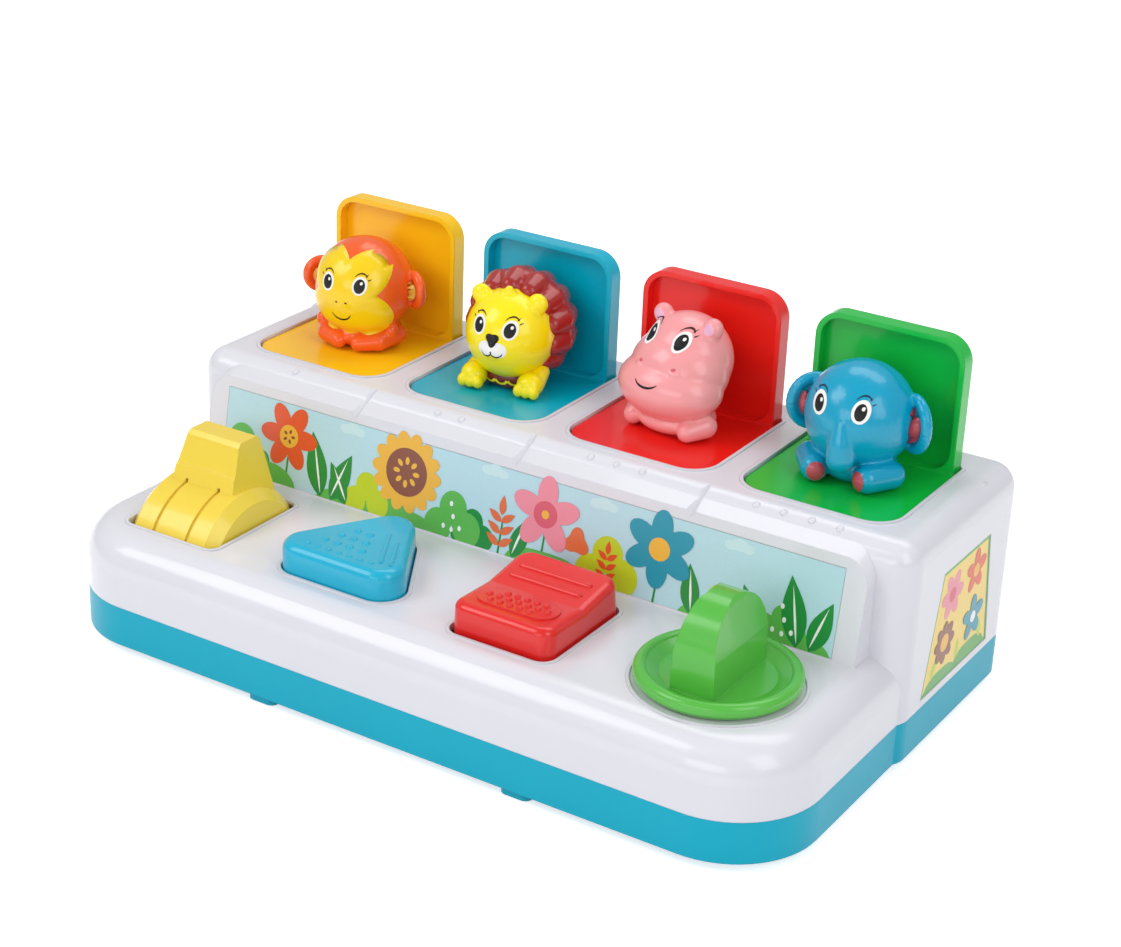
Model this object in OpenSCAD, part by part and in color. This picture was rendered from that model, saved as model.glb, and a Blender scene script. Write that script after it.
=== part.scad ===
// Pop-up animal toy: a two-tier housing, four spring-loaded doors that each carry an animal,
// and four controls, a toggle, a push button, a rocker and a dial, that release the doors.
// Millimetres, +Z up, +X right, +Y to the back. Origin on the resting surface, at the centre
// of the footprint. The rest pose has every door open and every control released.

/* [Housing] */
// Distance from an outer door opening to the side of the rear housing
side_margin = 15.1; // [14.5:0.1:17]
// Distance from the hinge line to the back of the housing
hinge_back = 26.7; // [26.5:0.1:28]
// Width of the rear housing's top in front of the doors
tier_margin = 13.35; // [13.1:0.05:14.5]
// How far each end of the front deck stands in from the rear housing
deck_inset = 1.5; // [1:0.5:3]
// Width of the deck in front of the controls
deck_margin = 16.1; // [15.6:0.1:19]
// Depth of the deck between the controls and the rear housing
deck_back = 20.4; // [20:0.1:24]
// Height of the feet under the tray
foot_h = 3.5; // [2.5:0.5:5]
// Height of the coloured band of the tray
band_h = 15.5; // [14:0.5:17]
// Height of the front deck above the resting surface
deck_z = 44.5; // [44:0.25:45.5]
// Height of the top of the rear housing
top_z = 86; // [85.5:0.25:87]
// Wall of the upper shell
wall = 2.5; // [2:0.1:2.8]
// Wall of the tray
tray_wall = 2.5; // [2:0.1:3]
// Radius of the front corners in plan
corner_r = 33; // [28:1:36]
// Radius of the deck's top edge
deck_edge_r = 13; // [9:0.5:14]
// Radius of the rear housing's corners in plan
tier_corner_r = 10; // [9:0.5:10.5]
// Radius of the rear housing's top edge
tier_edge_r = 9; // [7:0.5:9]
// How far each end of the sloping label panel stands in from the rear housing
panel_inset = 12.5; // [10.5:0.5:15]

/* [Doors] */
// Distance from one door to the next
pitch = 71.6; // [71:0.1:72.2]
// Width of the housing's top between two doors
divider_w = 11.6; // [11.2:0.1:13]
// Distance from a door's hinge line to its free edge
door_len = 54.9; // [53:0.1:55.5]
// Radius of the hinge knuckle, which is also the depth of the hinge line below the top
knuckle_r = 5.7; // [5.4:0.1:6]
// Clearance between a closed door and the front of its opening
door_gap = 0.75; // [0.6:0.05:1.2]
// Thickness of a door's lid and floor
door_t = 2.5; // [2:0.1:2.6]
// Depth of the rim round a lid
lid_depth = 6.8; // [5:0.1:7.5]
// Width of the rim round a lid
rim_t = 2.2; // [1.6:0.1:3]
// How far a door's floor lies below the housing's top
floor_drop = 0.6; // [0.3:0.1:1]
// Diameter of a hinge pin
pin_d = 4; // [3:0.5:4.5]
// Radial running clearance of a turning bore on its pin
run_fit = 0.07; // [0.04:0.01:0.1]

/* [Controls] */
// Travel of a latch slider from rest to release
latch_travel = 3.7; // [3.5:0.1:3.8]
// Clearance between moving mechanism pieces
slide_gap = 0.3; // [0.25:0.05:0.4]
// Width of the toggle's and the rocker's deck openings
slot_w = 42; // [41:0.5:44]
// Length of the toggle's and the rocker's deck openings
slot_l = 49.8; // [49.4:0.1:50.2]
// Radius of the toggle's drum
drum_r = 28.3; // [28:0.1:28.4]
// Toggle lever's swing
toggle_swing = 25; // [20:1:28]
// Push button's stroke
button_stroke = 4.5; // [4:0.1:5]
// Rocker's swing
rocker_swing = 9; // [8:0.5:9]
// Dial's turn
dial_turn = 90; // [80:5:100]
// Radius of the dial's dish
dial_r = 28.3; // [27:0.1:29]
// Height of the dial's grip above the deck
grip_h = 33; // [28:0.5:35]

/* [Figures] */
// Radius of the monkey's and the elephant's heads
head_r = 19.5; // [18:0.5:20]
// Height of a head's centre above its door's floor
head_h = 22.8; // [22:0.2:23]
// Distance of a figure's centre in front of the hinge line
figure_set = 20.3; // [20:0.1:22]
// Diameter of the peg under each figure
peg_d = 8; // [6:0.5:10]
// Lobes round the lion's mane
mane_lobes = 13; // [10:1:15]

/* [Hidden] */
$fn = 48;
eps = 0.02;

// colours
white_c = [0.93, 0.93, 0.95];
teal_c = [0.0, 0.66, 0.77];
yellow_c = [0.94, 0.84, 0.31];
amber_c = [0.98, 0.71, 0.08];
blue_c = [0.08, 0.71, 0.83];
door_teal_c = [0.0, 0.59, 0.69];
red_c = [0.90, 0.12, 0.12];
green_c = [0.28, 0.69, 0.24];
orange_c = [0.94, 0.37, 0.14];
mane_c = [0.63, 0.16, 0.14];
lion_c = [0.98, 0.87, 0.04];
pink_c = [0.95, 0.59, 0.61];
rose_c = [0.78, 0.33, 0.40];
steel_c = [0.72, 0.73, 0.75];
acetal_c = [0.85, 0.86, 0.84];
sky_c = [0.72, 0.87, 0.90];
leaf_c = [0.95, 0.83, 0.45];

// housing
open_w = pitch - divider_w;
body_w = 3 * pitch + open_w + 2 * side_margin;
deck_w = body_w - 2 * deck_inset;
panel_w = body_w - 2 * panel_inset;
tier_d = tier_margin + door_gap + door_len + hinge_back;
body_d = deck_margin + slot_l + deck_back + tier_d;
front_y = -body_d / 2;
rear_y = body_d / 2;
seam_z = foot_h + band_h;
floor_z = foot_h + tray_wall;
tier_front_y = rear_y - tier_d;
panel_lean = 6.2;
panel_foot_y = tier_front_y - 10.9;
panel_top_y = panel_foot_y + panel_lean;
panel_top_z = top_z - 5.2;
shoulder_y = tier_front_y + 10.9;
wedge_back_y = tier_front_y + 4.7;
panel_corner_r = 9;
panel_corner_in = panel_corner_r - wall;
deck_back_y = tier_front_y + 45;
plate_under_z = top_z - wall;
deck_under_z = deck_z - wall;
lip_w = 1.3;
lip_h = 0.5;
label_t = 0.5;
label_w = panel_w - 17;
label_z0 = deck_z + 0.6;
label_z1 = panel_top_z - 3.6;
tray_lip_t = 1.3;
tray_lip_h = 3;
tray_lip_gap = 0.2;
foot_x = 54;

// doors, measured from the hinge line
hinge_y = rear_y - hinge_back;
hinge_z = top_z - knuckle_r;
open_front_y = hinge_y - door_len - door_gap;
open_back_y = hinge_y + knuckle_r + 0.6;
open_r = 11;
open_back_r = 3;
lid_w = open_w - 2.4;
lid_r = 9.6;
floor_w = open_w - 1.2;
floor_r = 10.4;
floor_top = knuckle_r - floor_drop;
pin_bore_d = pin_d + 2 * run_fit;
bracket_w = divider_w - 1.2;
bracket_r = 5;
pin_len = pitch - 0.4;
coil_r = 3.7;
coil_pocket_r = coil_r + 0.45;
coil_half = 6.8;
spring_wire = 1;
stop_y = 10;
lug_r = 13;
lug_d = 4;
lug_len = 4.6;
cheek_t = 2;

// figures, each turned a little about its peg
figure_turn = [10, 8, -9, 3];
skin_gap = 0.3;
lion_r = 17.3;
lion_face = [0, -5, 21.5];
lion_ear = [11.5, -7, 35.4];
lion_ear_r = 3.9;
mane_h = 22.6;
mane_r = 23.2;
mane_lobe_r = 4.9;
paw = [11.2, -11.5, 4.9];
trunk_r = 5.3;
ear_turn = 40;

// controls
control_y = front_y + deck_margin + slot_l / 2;
toggle_slot_r = 4;
post_r = 4.4;
spring_post_r = 3;
spring_post_h = 13;
tall = 60;
rocker_slot_r = 5.5;
drum_z = deck_z - 15;
drum_w = slot_w - 1.6;
drum_t = 2.2;
toggle_arm = latch_travel / (toggle_swing * PI / 180);
finger_r = 2;
pad_w = 10;
pad_t = 4;
rocker_z = deck_z - 6;
rocker_arm = latch_travel / (rocker_swing * PI / 180);
rocker_w = slot_w - 1.8;
rocker_l = slot_l - 3.4;
key_front_h = deck_z + 11 - rocker_z;
key_mid_h = key_front_h - 1.2;
key_skirt = 4;
key_t = 2.2;
front_tilt = -2.5;
rear_tilt = 8.5;
key_bracket_x = slot_w / 2 + 1.5;
key_bracket_t = 3;
key_half = key_bracket_x + key_bracket_t;
hub_r = 7.9;
cam_r0 = 8;
cam_z = deck_z - 12.5;
cam_t = 5.5;
cam_gain = latch_travel / (dial_turn * PI / 180);
cam_tilt = atan(cam_gain / cam_r0);
cam_push = (cam_r0 + cam_gain * cam_tilt * PI / 180) * cos(cam_tilt);
grip_r = 18;

// latch sliders run in the gaps between the doors
bar_w = 5;
bar_t = 4;
bar_z = floor_z + 6;
bar_x = pitch / 2 - 0.8;
bar_front_y = control_y + 4;
arm_back_y = control_y + 13;
upright_y = hinge_y + 14.2;
upright_t = 4;
upright_top_z = hinge_z - 10.3;
collar_y = 8;
guide_y = 24;
guide_l = 6;
latch_coil_r = 4.6;

// button
tri_r = 9;
tri_front = 22.5;
tri_half = 16;
tri_back = 14;
tri_gap = 0.6;
tri_bulge = 0.03;
cap_top_z = deck_z + 11;
flange_t = 3;
cap_t = 2.4;
button_spring_y = control_y - 14.2;
button_coil_r = 4.5;
wedge_slope = latch_travel / button_stroke;

function door_x(i) = (i - 2.5) * pitch;

// Closed section of a rounded slab: a wall of width r and height h with its top edge rounded.
module edge_section(r, h, rt) {
  if (rt > 0) {
    square([r, h - rt]);
    square([r - rt, h]);
    translate([r - rt, h - rt]) intersection() {
      circle(rt);
      square([rt, rt]);
    }
  } else {
    square([r, h]);
  }
}

// Slab over corner centres p, counter-clockwise, with corner radius r and top edge radius rt.
module soft_slab(p, r, h, rt) {
  n = len(p);
  linear_extrude(h) polygon(p);
  for (i = [0:n - 1]) {
    a = p[i];
    b = p[(i + 1) % n];
    translate([a[0], a[1], 0]) rotate_extrude() edge_section(r, h, rt);
    translate([b[0], b[1], 0]) rotate([0, 0, atan2(b[1] - a[1], b[0] - a[0]) - 90])
      rotate([90, 0, 0]) linear_extrude(norm(b - a)) edge_section(r, h, rt);
  }
}

function box_centres(w, y0, y1, r) =
  [[-w / 2 + r, y0 + r], [w / 2 - r, y0 + r], [w / 2 - r, y1 - r], [-w / 2 + r, y1 - r]];

module soft_box(w, y0, y1, r, h, rt) soft_slab(box_centres(w, y0, y1, r), r, h, rt);

// Rectangle x from -w/2 to w/2, y from y0 to y1, front corners rf, back corners rb.
module plan_rect(w, y0, y1, rf, rb) {
  for (s = [-1, 1]) {
    translate([s * (w / 2 - rf), y0 + rf]) circle(rf);
    translate([s * (w / 2 - rb), y1 - rb]) circle(rb);
  }
  translate([-w / 2 + rf, y0]) square([w - 2 * rf, y1 - y0]);
  translate([-w / 2 + rb, y0 + rf]) square([w - 2 * rb, y1 - y0 - rf]);
  translate([-w / 2, y0 + rf]) square([w, y1 - y0 - rf - rb]);
}

// Disc of radius r and height h with rounded edges e at both faces.
module pill_disc(r, h, e) {
  rotate_extrude() {
    square([r - e, h]);
    translate([0, e]) square([r, h - 2 * e]);
    translate([r - e, e]) intersection() {
      circle(e);
      translate([0, -e]) square([e, e]);
    }
    translate([r - e, h - e]) intersection() {
      circle(e);
      square([e, e]);
    }
  }
}

// Round bar along X through the origin.
module x_bar(r, x0, x1) translate([x0, 0, 0]) rotate([0, 90, 0]) cylinder(r = r, h = x1 - x0);

// Round bar along Y through the origin.
module y_bar(r, y0, y1) translate([0, y0, 0]) rotate([-90, 0, 0]) cylinder(r = r, h = y1 - y0);

// Extrudes a side view, drawn in Y and Z, from x0 to x1.
module side_view(x0, x1) translate([x0, 0, 0]) rotate([90, 0, 90]) linear_extrude(x1 - x0) children();

// ---------------------------------------------------------------- housing

// Sloping panel in front of the rear housing: a lean face below, a shallow slope above.
module panel_wedge(w, r, inset, z0) {
  slope = atan2(top_z - panel_top_z, shoulder_y - panel_top_y);
  lean = panel_lean / (panel_top_z - deck_z);
  foot_y = panel_foot_y + inset - lean * deck_z;
  z1 = top_z + 4;
  intersection() {
    side_view(-w / 2, w / 2)
      polygon([[foot_y + lean * z0, z0], [foot_y + lean * z1, z1], [wedge_back_y, z1], [wedge_back_y, z0]]);
    translate([0, panel_top_y, panel_top_z - inset / cos(slope)]) rotate([slope - 90, 0, 0])
      translate([0, 0, -30]) linear_extrude(80) {
        translate([-w / 2, r]) square([w, 90]);
        translate([-w / 2 + r, 0]) square([w - 2 * r, 90]);
        for (s = [-1, 1]) translate([s * (w / 2 - r), r]) circle(r);
      }
  }
}

module housing_outer() {
  translate([0, 0, seam_z]) soft_box(deck_w, front_y, deck_back_y, corner_r, deck_z - seam_z, deck_edge_r);
  translate([0, 0, seam_z])
    soft_box(body_w, tier_front_y, rear_y, tier_corner_r, top_z - seam_z, tier_edge_r);
  panel_wedge(panel_w, panel_corner_r, 0, deck_z - 1);
}

module housing_inner() {
  low = seam_z - 1;
  translate([0, 0, low]) soft_box(deck_w - 2 * wall, front_y + wall, deck_back_y - wall,
    corner_r - wall, deck_under_z - low, deck_edge_r - wall);
  translate([0, 0, low]) soft_box(body_w - 2 * wall, tier_front_y + wall, rear_y - wall,
    tier_corner_r - wall, plate_under_z - low, tier_edge_r - wall);
  panel_wedge(panel_w - 2 * wall, panel_corner_in, wall, deck_under_z - 1);
}

module door_opening_plan(grow) {
  plan_rect(open_w + 2 * grow, open_front_y - grow, open_back_y + grow, open_r + grow, open_back_r + grow);
}

module slot_plan(grow, r) {
  plan_rect(slot_w + 2 * grow, -slot_l / 2 - grow, slot_l / 2 + grow, r + grow, r + grow);
}

function tri_centres() = [[-tri_half, -tri_front + tri_r], [tri_half, -tri_front + tri_r], [0, tri_back]];

// Rounded triangle over the three corner centres: a polygon through the tangent points, and circles
// a hair larger than its corners so that they cross its sides.
module tri_plan(r) {
  p = tri_centres();
  polygon([for (i = [0:2]) for (k = [0, 1])
    let (a = p[i], b = p[(i + 1) % 3], d = (b - a) / norm(b - a)) (k == 0 ? a : b) + r * [d[1], -d[0]]]);
  for (c = p) translate(c) circle(r + tri_bulge);
}

module lips() {
  for (i = [1:4]) translate([door_x(i), 0, top_z - eps]) linear_extrude(lip_h + eps) difference() {
    door_opening_plan(lip_w);
    door_opening_plan(0);
  }
  for (i = [1, 3]) translate([door_x(i), control_y, deck_z - eps])
    linear_extrude(lip_h + eps) difference() {
    slot_plan(lip_w, i == 1 ? toggle_slot_r : rocker_slot_r);
    slot_plan(0, i == 1 ? toggle_slot_r : rocker_slot_r);
  }
  translate([door_x(2), control_y, deck_z - eps]) linear_extrude(lip_h + eps) difference() {
    tri_plan(tri_r + tri_gap + lip_w);
    tri_plan(tri_r + tri_gap);
  }
  translate([door_x(4), control_y, deck_z - eps]) linear_extrude(lip_h + eps) difference() {
    circle(dial_r + 0.8 + lip_w);
    circle(dial_r + 0.8);
  }
}

// One to four raised counting dots in front of the doors.
module counting_dots() {
  dot_y = shoulder_y - 4.7;
  dot_z = top_z - 4.7 * (top_z - panel_top_z) / (shoulder_y - panel_top_y);
  for (i = [1:4]) for (k = [0:i - 1])
    translate([door_x(i) + (k - (i - 1) / 2) * 10.6, dot_y, dot_z - 0.6]) sphere(1.6);
}

// Short grooves that part the four swellings of the shoulder.
module shoulder_notches() {
  for (k = [-1:1]) translate([k * pitch, panel_top_y - 1, panel_top_z + 0.7]) rotate([28, 0, 0])
    y_bar_square(3, -3, 15);
}

module y_bar_square(r, y0, y1)
  translate([0, y0, 0]) rotate([-90, 0, 0]) cylinder(r = r, h = y1 - y0, $fn = 4);

// Bosses between the doors that hold the hinge pins.
module hinge_brackets() {
  for (k = [-2:2]) translate([k * pitch, hinge_y, hinge_z]) {
    x_bar(bracket_r, -bracket_w / 2, bracket_w / 2);
    translate([-bracket_w / 2, -bracket_r, 0]) cube([bracket_w, 2 * bracket_r, knuckle_r - wall + 0.5]);
  }
}

// Ribs behind the doors that take the fixed leg of each door spring.
module spring_stops() {
  for (i = [1:4]) translate([door_x(i) - coil_half, hinge_y + stop_y, hinge_z - 6])
    cube([2 * coil_half, 2, plate_under_z - hinge_z + 6.5]);
}

// Hangers under the deck for the toggle's and the rocker's pins.
module key_brackets(z) {
  for (s = [-1, 1]) translate([s * key_bracket_x - (s < 0 ? key_bracket_t : 0), 0, 0]) {
    translate([0, 0, z]) x_bar(4.5, 0, key_bracket_t);
    translate([0, -4.5, z]) cube([key_bracket_t, 9, deck_under_z - z + 0.5]);
  }
}

function screw_points() = [[-pitch, front_y + 9.5, 0], [pitch, front_y + 9.5, 0],
  [door_x(1) - 27, front_y + 20, 0], [door_x(4) + 27, front_y + 20, 0],
  [door_x(1), rear_y - 9, 1], [door_x(4), rear_y - 9, 1]];

module screw_tubes(z0) {
  for (p = screw_points()) translate([p[0], p[1], z0])
    cylinder(r = 3.6, h = (p[2] == 0 ? deck_under_z : plate_under_z) - z0 + 0.5);
}

module key_bore() x_bar(pin_d / 2, -key_half - 1, key_half + 1);

// The drum's slot widens below the deck's surface, square to the drum.
module drum_relief() {
  lean = (deck_z - drum_z) / (slot_l / 2);
  z0 = deck_under_z - 3;
  z1 = deck_z + 0.4;
  edge_z = deck_z - 0.8;
  half0 = slot_l / 2 + lean * (edge_z - z0);
  half1 = slot_l / 2 + lean * (edge_z - z1);
  w = slot_w / 2 - toggle_slot_r + 1;
  translate([door_x(1), control_y, 0]) side_view(-w, w)
    polygon([[-half0, z0], [half0, z0], [half1, z1], [-half1, z1]]);
}

module upper_shell() {
  color(white_c) difference() {
    union() {
      difference() {
        housing_outer();
        housing_inner();
      }
      lips();
      counting_dots();
      hinge_brackets();
      spring_stops();
      translate([door_x(1), control_y, 0]) key_brackets(drum_z);
      translate([door_x(3), control_y, 0]) key_brackets(rocker_z);
      translate([door_x(4), control_y, cam_z + cam_t + slide_gap])
        cylinder(r = hub_r + 3, h = deck_under_z - cam_z - cam_t);
      screw_tubes(seam_z);
    }
    for (i = [1:4]) translate([door_x(i), 0, hinge_z]) linear_extrude(20) door_opening_plan(0);
    for (i = [1, 3]) translate([door_x(i), control_y, deck_under_z - 1]) linear_extrude(10)
      slot_plan(0, i == 1 ? toggle_slot_r : rocker_slot_r);
    drum_relief();
    translate([door_x(2), control_y, deck_under_z - 1]) linear_extrude(10) tri_plan(tri_r + tri_gap);
    translate([door_x(4), control_y, deck_under_z - 5]) cylinder(r = hub_r + run_fit, h = 15);
    shoulder_notches();
    for (k = [-2:2]) translate([k * pitch, hinge_y, hinge_z])
      x_bar(pin_d / 2, -bracket_w / 2 - 1, bracket_w / 2 + 1);
    translate([door_x(1), control_y, drum_z]) key_bore();
    translate([door_x(3), control_y, rocker_z]) key_bore();
    for (p = screw_points()) translate([p[0], p[1], seam_z - 1]) cylinder(r = 1.3, h = 13);
    front_label_cut();
    side_label_cut();
  }
}

// ---------------------------------------------------------------- labels

module front_label_plan(grow) {
  h = label_z1 - label_z0;
  translate([-label_w / 2 - grow, -grow]) square([label_w + 2 * grow, h + 2 * grow]);
}

module on_panel() {
  lean = atan2(panel_lean, panel_top_z - deck_z);
  y = panel_foot_y + panel_lean * (label_z0 - deck_z) / (panel_top_z - deck_z);
  translate([0, y, label_z0]) rotate([90 - lean, 0, 0]) children();
}

module front_label_cut() on_panel() translate([0, 0, -label_t]) linear_extrude(2) front_label_plan(0);

module front_label() {
  color(sky_c) on_panel() translate([0, 0, -label_t]) linear_extrude(label_t) front_label_plan(-0.1);
}

module side_label_plan(grow) {
  y0 = rear_y - 76.2;
  z0 = seam_z + 3;
  polygon([[y0 - grow, z0 - grow], [y0 + 57 + grow, z0 - grow],
    [y0 + 49.5 + grow, z0 + 45 + grow], [y0 + 10 - grow, z0 + 45 + grow]]);
}

module side_label_cut() side_view(body_w / 2 - label_t, body_w / 2 + 1) side_label_plan(0);

module side_label() {
  color(leaf_c) side_view(body_w / 2 - label_t, body_w / 2) side_label_plan(-0.1);
}

// ---------------------------------------------------------------- tray

module tray_solid(inset, h) {
  soft_box(deck_w - 2 * inset, front_y + inset, deck_back_y - inset, corner_r - inset, h, 0);
  soft_box(body_w - 2 * inset, tier_front_y + inset, rear_y - inset, tier_corner_r - inset, h, 0);
}

function foot_points() = [for (s = [-1, 1])
  each [[s * foot_x, front_y + 5, 0], [s * foot_x, rear_y - 5, 0],
    [s * (deck_w / 2 - 6), front_y + corner_r + 2, 90], [s * (deck_w / 2 - 6), tier_front_y + 2.7, 90],
    [s * (body_w / 2 - 7.5), rear_y - 29, 90]]];

module tray_feet() {
  for (p = foot_points()) translate([p[0], p[1], 0]) rotate([0, 0, p[2]]) linear_extrude(foot_h + 1)
    plan_rect(12, -3, 3, 2.9, 2.9);
}

// Sleeves that guide the latch sliders.
module slider_guides() {
  for (i = [1:4]) for (y = [guide_y, -18]) translate([door_x(i) + bar_x, y, 0]) difference() {
    translate([-bar_w / 2 - 2, 0, floor_z - 1]) cube([bar_w + 4, guide_l, bar_z + bar_t + 3 - floor_z]);
    translate([-bar_w / 2 - slide_gap, -1, bar_z - slide_gap])
      cube([bar_w + 2 * slide_gap, guide_l + 2, bar_t + 2 * slide_gap]);
  }
}

module base_tray() {
  color(teal_c) difference() {
    union() {
      difference() {
        union() {
          translate([0, 0, foot_h]) tray_solid(0, band_h);
          translate([0, 0, seam_z - 2]) tray_solid(tray_lip_gap + wall, 2 + tray_lip_h);
        }
        translate([0, 0, floor_z]) tray_solid(tray_wall, seam_z - 2 - floor_z);
        translate([0, 0, floor_z]) tray_solid(wall + tray_lip_gap + tray_lip_t, tall);
      }
      tray_feet();
      slider_guides();
      for (p = screw_points()) translate([p[0], p[1], floor_z - 1])
        cylinder(r = post_r, h = seam_z - floor_z + 1);
      translate([door_x(2), button_spring_y, floor_z - 1]) cylinder(r = spring_post_r, h = spring_post_h);
    }
    for (p = screw_points()) translate([p[0], p[1], 0]) {
      cylinder(r = 1.7, h = seam_z + 1);
      cylinder(r = 3.2, h = seam_z - 4);
    }
  }
}

module case_screws() {
  color(steel_c) for (p = screw_points()) translate([p[0], p[1], seam_z - 4]) {
    translate([0, 0, -2]) difference() {
      cylinder(r = 2.9, h = 2);
      for (a = [0, 90]) rotate([0, 0, a]) translate([-1.8, -0.4, -1]) cube([3.6, 0.8, 2]);
    }
    cylinder(r = 1.3, h = 12);
  }
}

// ---------------------------------------------------------------- doors

// A door in its own frame: the hinge line is X, the lid stands up and the floor lies to the front.
module door(c) {
  color(c) difference() {
    union() {
      // floor
      translate([0, 0, floor_top - door_t]) linear_extrude(door_t)
        plan_rect(floor_w, -door_len, 0, floor_r, 0.1);
      // lid
      translate([0, knuckle_r, 0]) rotate([90, 0, 0]) linear_extrude(lid_depth) lid_outline(0);
      // knuckle
      x_bar(knuckle_r, -lid_w / 2, lid_w / 2);
      // cheek with the latch lug
      translate([lid_w / 2 - cheek_t + 0.6, 0, 0]) {
        translate([0, -2.5, -lug_r]) cube([cheek_t, 5, lug_r + 3]);
        translate([0, 0, -lug_r]) x_bar(2.5, 0, cheek_t);
        translate([0, 0, -lug_r]) x_bar(lug_d / 2, cheek_t - eps, cheek_t + lug_len);
      }
      // ribs that stiffen the floor, as deep as the sweep allows
      for (s = [-1, 1]) translate([s * 17 - 0.8, -door_len + 14, floor_top - door_t - 3])
        cube([1.6, door_len - 17, 3.5]);
    }
    translate([0, knuckle_r - door_t, 0]) rotate([90, 0, 0]) linear_extrude(lid_depth) lid_pocket();
    x_bar(pin_bore_d / 2, -40, 40);
    x_bar(coil_pocket_r, -coil_half - 0.5, coil_half + 0.5);
    translate([-coil_half - 0.5, -8, -8]) cube([2 * coil_half + 1, 8, 8 + floor_top - door_t]);
    translate([-coil_half - 0.5, -1, -8]) cube([2 * coil_half + 1, 1 + coil_pocket_r, 8]);
    translate([-coil_half - 0.5, -1, -8]) cube([2 * coil_half + 1, 12, 5.5]);
    translate([0, -figure_set, 0]) cylinder(r = peg_d / 2 + 0.05, h = 10);
  }
}

module lid_outline(grow) {
  translate([-lid_w / 2, 0]) square([lid_w, door_len - lid_r]);
  translate([-lid_w / 2 + lid_r, 0]) square([lid_w - 2 * lid_r, door_len]);
  for (s = [-1, 1]) translate([s * (lid_w / 2 - lid_r), door_len - lid_r]) circle(lid_r);
}

module lid_pocket() {
  r = lid_r - rim_t;
  plan_rect(lid_w - 2 * rim_t, floor_top - 0.01 + 0.4, door_len - rim_t, r, r);
}

module at_hinge(i) translate([door_x(i), hinge_y, hinge_z]) children();

module door_yellow() at_hinge(1) door(amber_c);
module door_teal() at_hinge(2) door(door_teal_c);
module door_red() at_hinge(3) door(red_c);
module door_green() at_hinge(4) door(green_c);

module hinge_pin(i) color(steel_c) at_hinge(i) x_bar(pin_d / 2, -pin_len / 2, pin_len / 2);

module door_spring(i) color(steel_c) at_hinge(i) {
  difference() {
    x_bar(coil_r, -coil_half + 0.4, coil_half - 0.4);
    x_bar(pin_d / 2 + 0.4, -coil_half - 1, coil_half + 1);
  }
  // moving leg under the floor, fixed leg against its rib
  translate([-coil_half + 1.1, 0, 2]) y_bar(spring_wire / 2, -16, -2.6);
  translate([coil_half - 1.1, 0, -3]) y_bar(spring_wire / 2, 0, stop_y - 0.1);
}

// ---------------------------------------------------------------- figures

// A figure's frame: centred on its peg, standing on the door's floor, facing the front.
// A ball whose seam faces sideways, away from the figure's middle.
module side_ball(s, r) rotate([0, 0, 90 - s * 90]) sphere(r);

module on_floor(i) at_hinge(i) translate([0, -figure_set, floor_top])
  rotate([0, 0, figure_turn[i - 1]]) children();

module peg() translate([0, 0, -door_t]) cylinder(r = peg_d / 2, h = door_t + 1);

module monkey_ear(s) translate([s * 20.6, 2.6, head_h + 0.5]) rotate([0, 0, -s * ear_turn])
  rotate([90, 0, 0]) children();

module monkey_body() color(orange_c) on_floor(1) {
  peg();
  translate([0, 0, head_h]) sphere(head_r);
  pill_disc(15, 8, 3.5);
  for (s = [-1, 1]) {
    translate([s * 13.5, -5, 4.8]) side_ball(s, 4.8);
    difference() {
      monkey_ear(s) translate([0, 0, -2.6]) pill_disc(7.6, 5.2, 2.5);
      monkey_ear(s) translate([0, 0, 1.6]) cylinder(r = 4.6, h = 6);
    }
  }
}

// The face lies on the head as a 1.2 mm thick mask: two brows over a wide muzzle.
module monkey_face() color(lion_c) on_floor(1) difference() {
  union() {
    translate([0, 0, head_h]) intersection() {
      sphere(head_r + 1.2);
      rotate([90, 0, 0]) linear_extrude(30) {
        for (s = [-1, 1]) {
          translate([s * 6.6, 5.6]) circle(8.8);
          translate([s * 6, -4.8]) circle(9.4);
        }
        translate([-8, -12]) square([16, 14]);
        translate([-13, -8]) square([26, 10]);
      }
    }
    for (s = [-1, 1]) monkey_ear(s) translate([0, 0, 1.6]) cylinder(r = 4.5, h = 0.6);
  }
  translate([0, 0, head_h]) sphere(head_r + skin_gap);
}

module mane_plan() {
  circle(19.3);
  for (k = [0:mane_lobes - 1]) rotate([0, 0, (k + 0.5) * 360 / mane_lobes])
    translate([mane_h - mane_lobe_r - 0.4, 0]) circle(mane_lobe_r);
}

module lion_mane() color(mane_c) on_floor(2) difference() {
  union() {
    peg();
    pill_disc(13, 6, 2.5);
    translate([0, 0, mane_h]) intersection() {
      translate([0, 15, 0]) rotate([90, 0, 0]) linear_extrude(21) mane_plan();
      translate([0, 3.5, 0]) sphere(mane_r);
    }
  }
  translate(lion_face) rotate([90, 0, 0]) sphere(lion_r + skin_gap);
  for (s = [-1, 1]) translate([s * lion_ear[0], lion_ear[1], lion_ear[2]]) sphere(lion_ear_r + skin_gap);
}

module lion_head() color(lion_c) on_floor(2) {
  translate(lion_face) rotate([0, 90, 0]) sphere(lion_r);
  for (s = [-1, 1]) {
    translate([s * lion_ear[0], lion_ear[1], lion_ear[2]]) sphere(lion_ear_r);
    translate([s * 2.9, -20.4, 16.6]) sphere(3.6);
  }
  translate([0, -9, 38.2]) sphere(2);
  translate([0, -22.4, 19.8]) rotate([0, 0, -90]) sphere(2.2);
}

module lion_paws() color(lion_c) on_floor(2) for (s = [-1, 1]) difference() {
  union() {
    translate([s * paw[0], paw[1], paw[2]]) rotate([12, s * 18, 0]) rotate([0, 0, 90 - s * 60]) sphere(paw[2]);
    for (k = [-1:1]) translate([s * paw[0] + k * 3, paw[1] - 3.4, 3]) rotate([0, 0, -90]) sphere(2.4);
  }
  translate(lion_face) sphere(lion_r + skin_gap);
  pill_disc(13 + skin_gap, 6 + skin_gap, 2.5);
}

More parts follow.
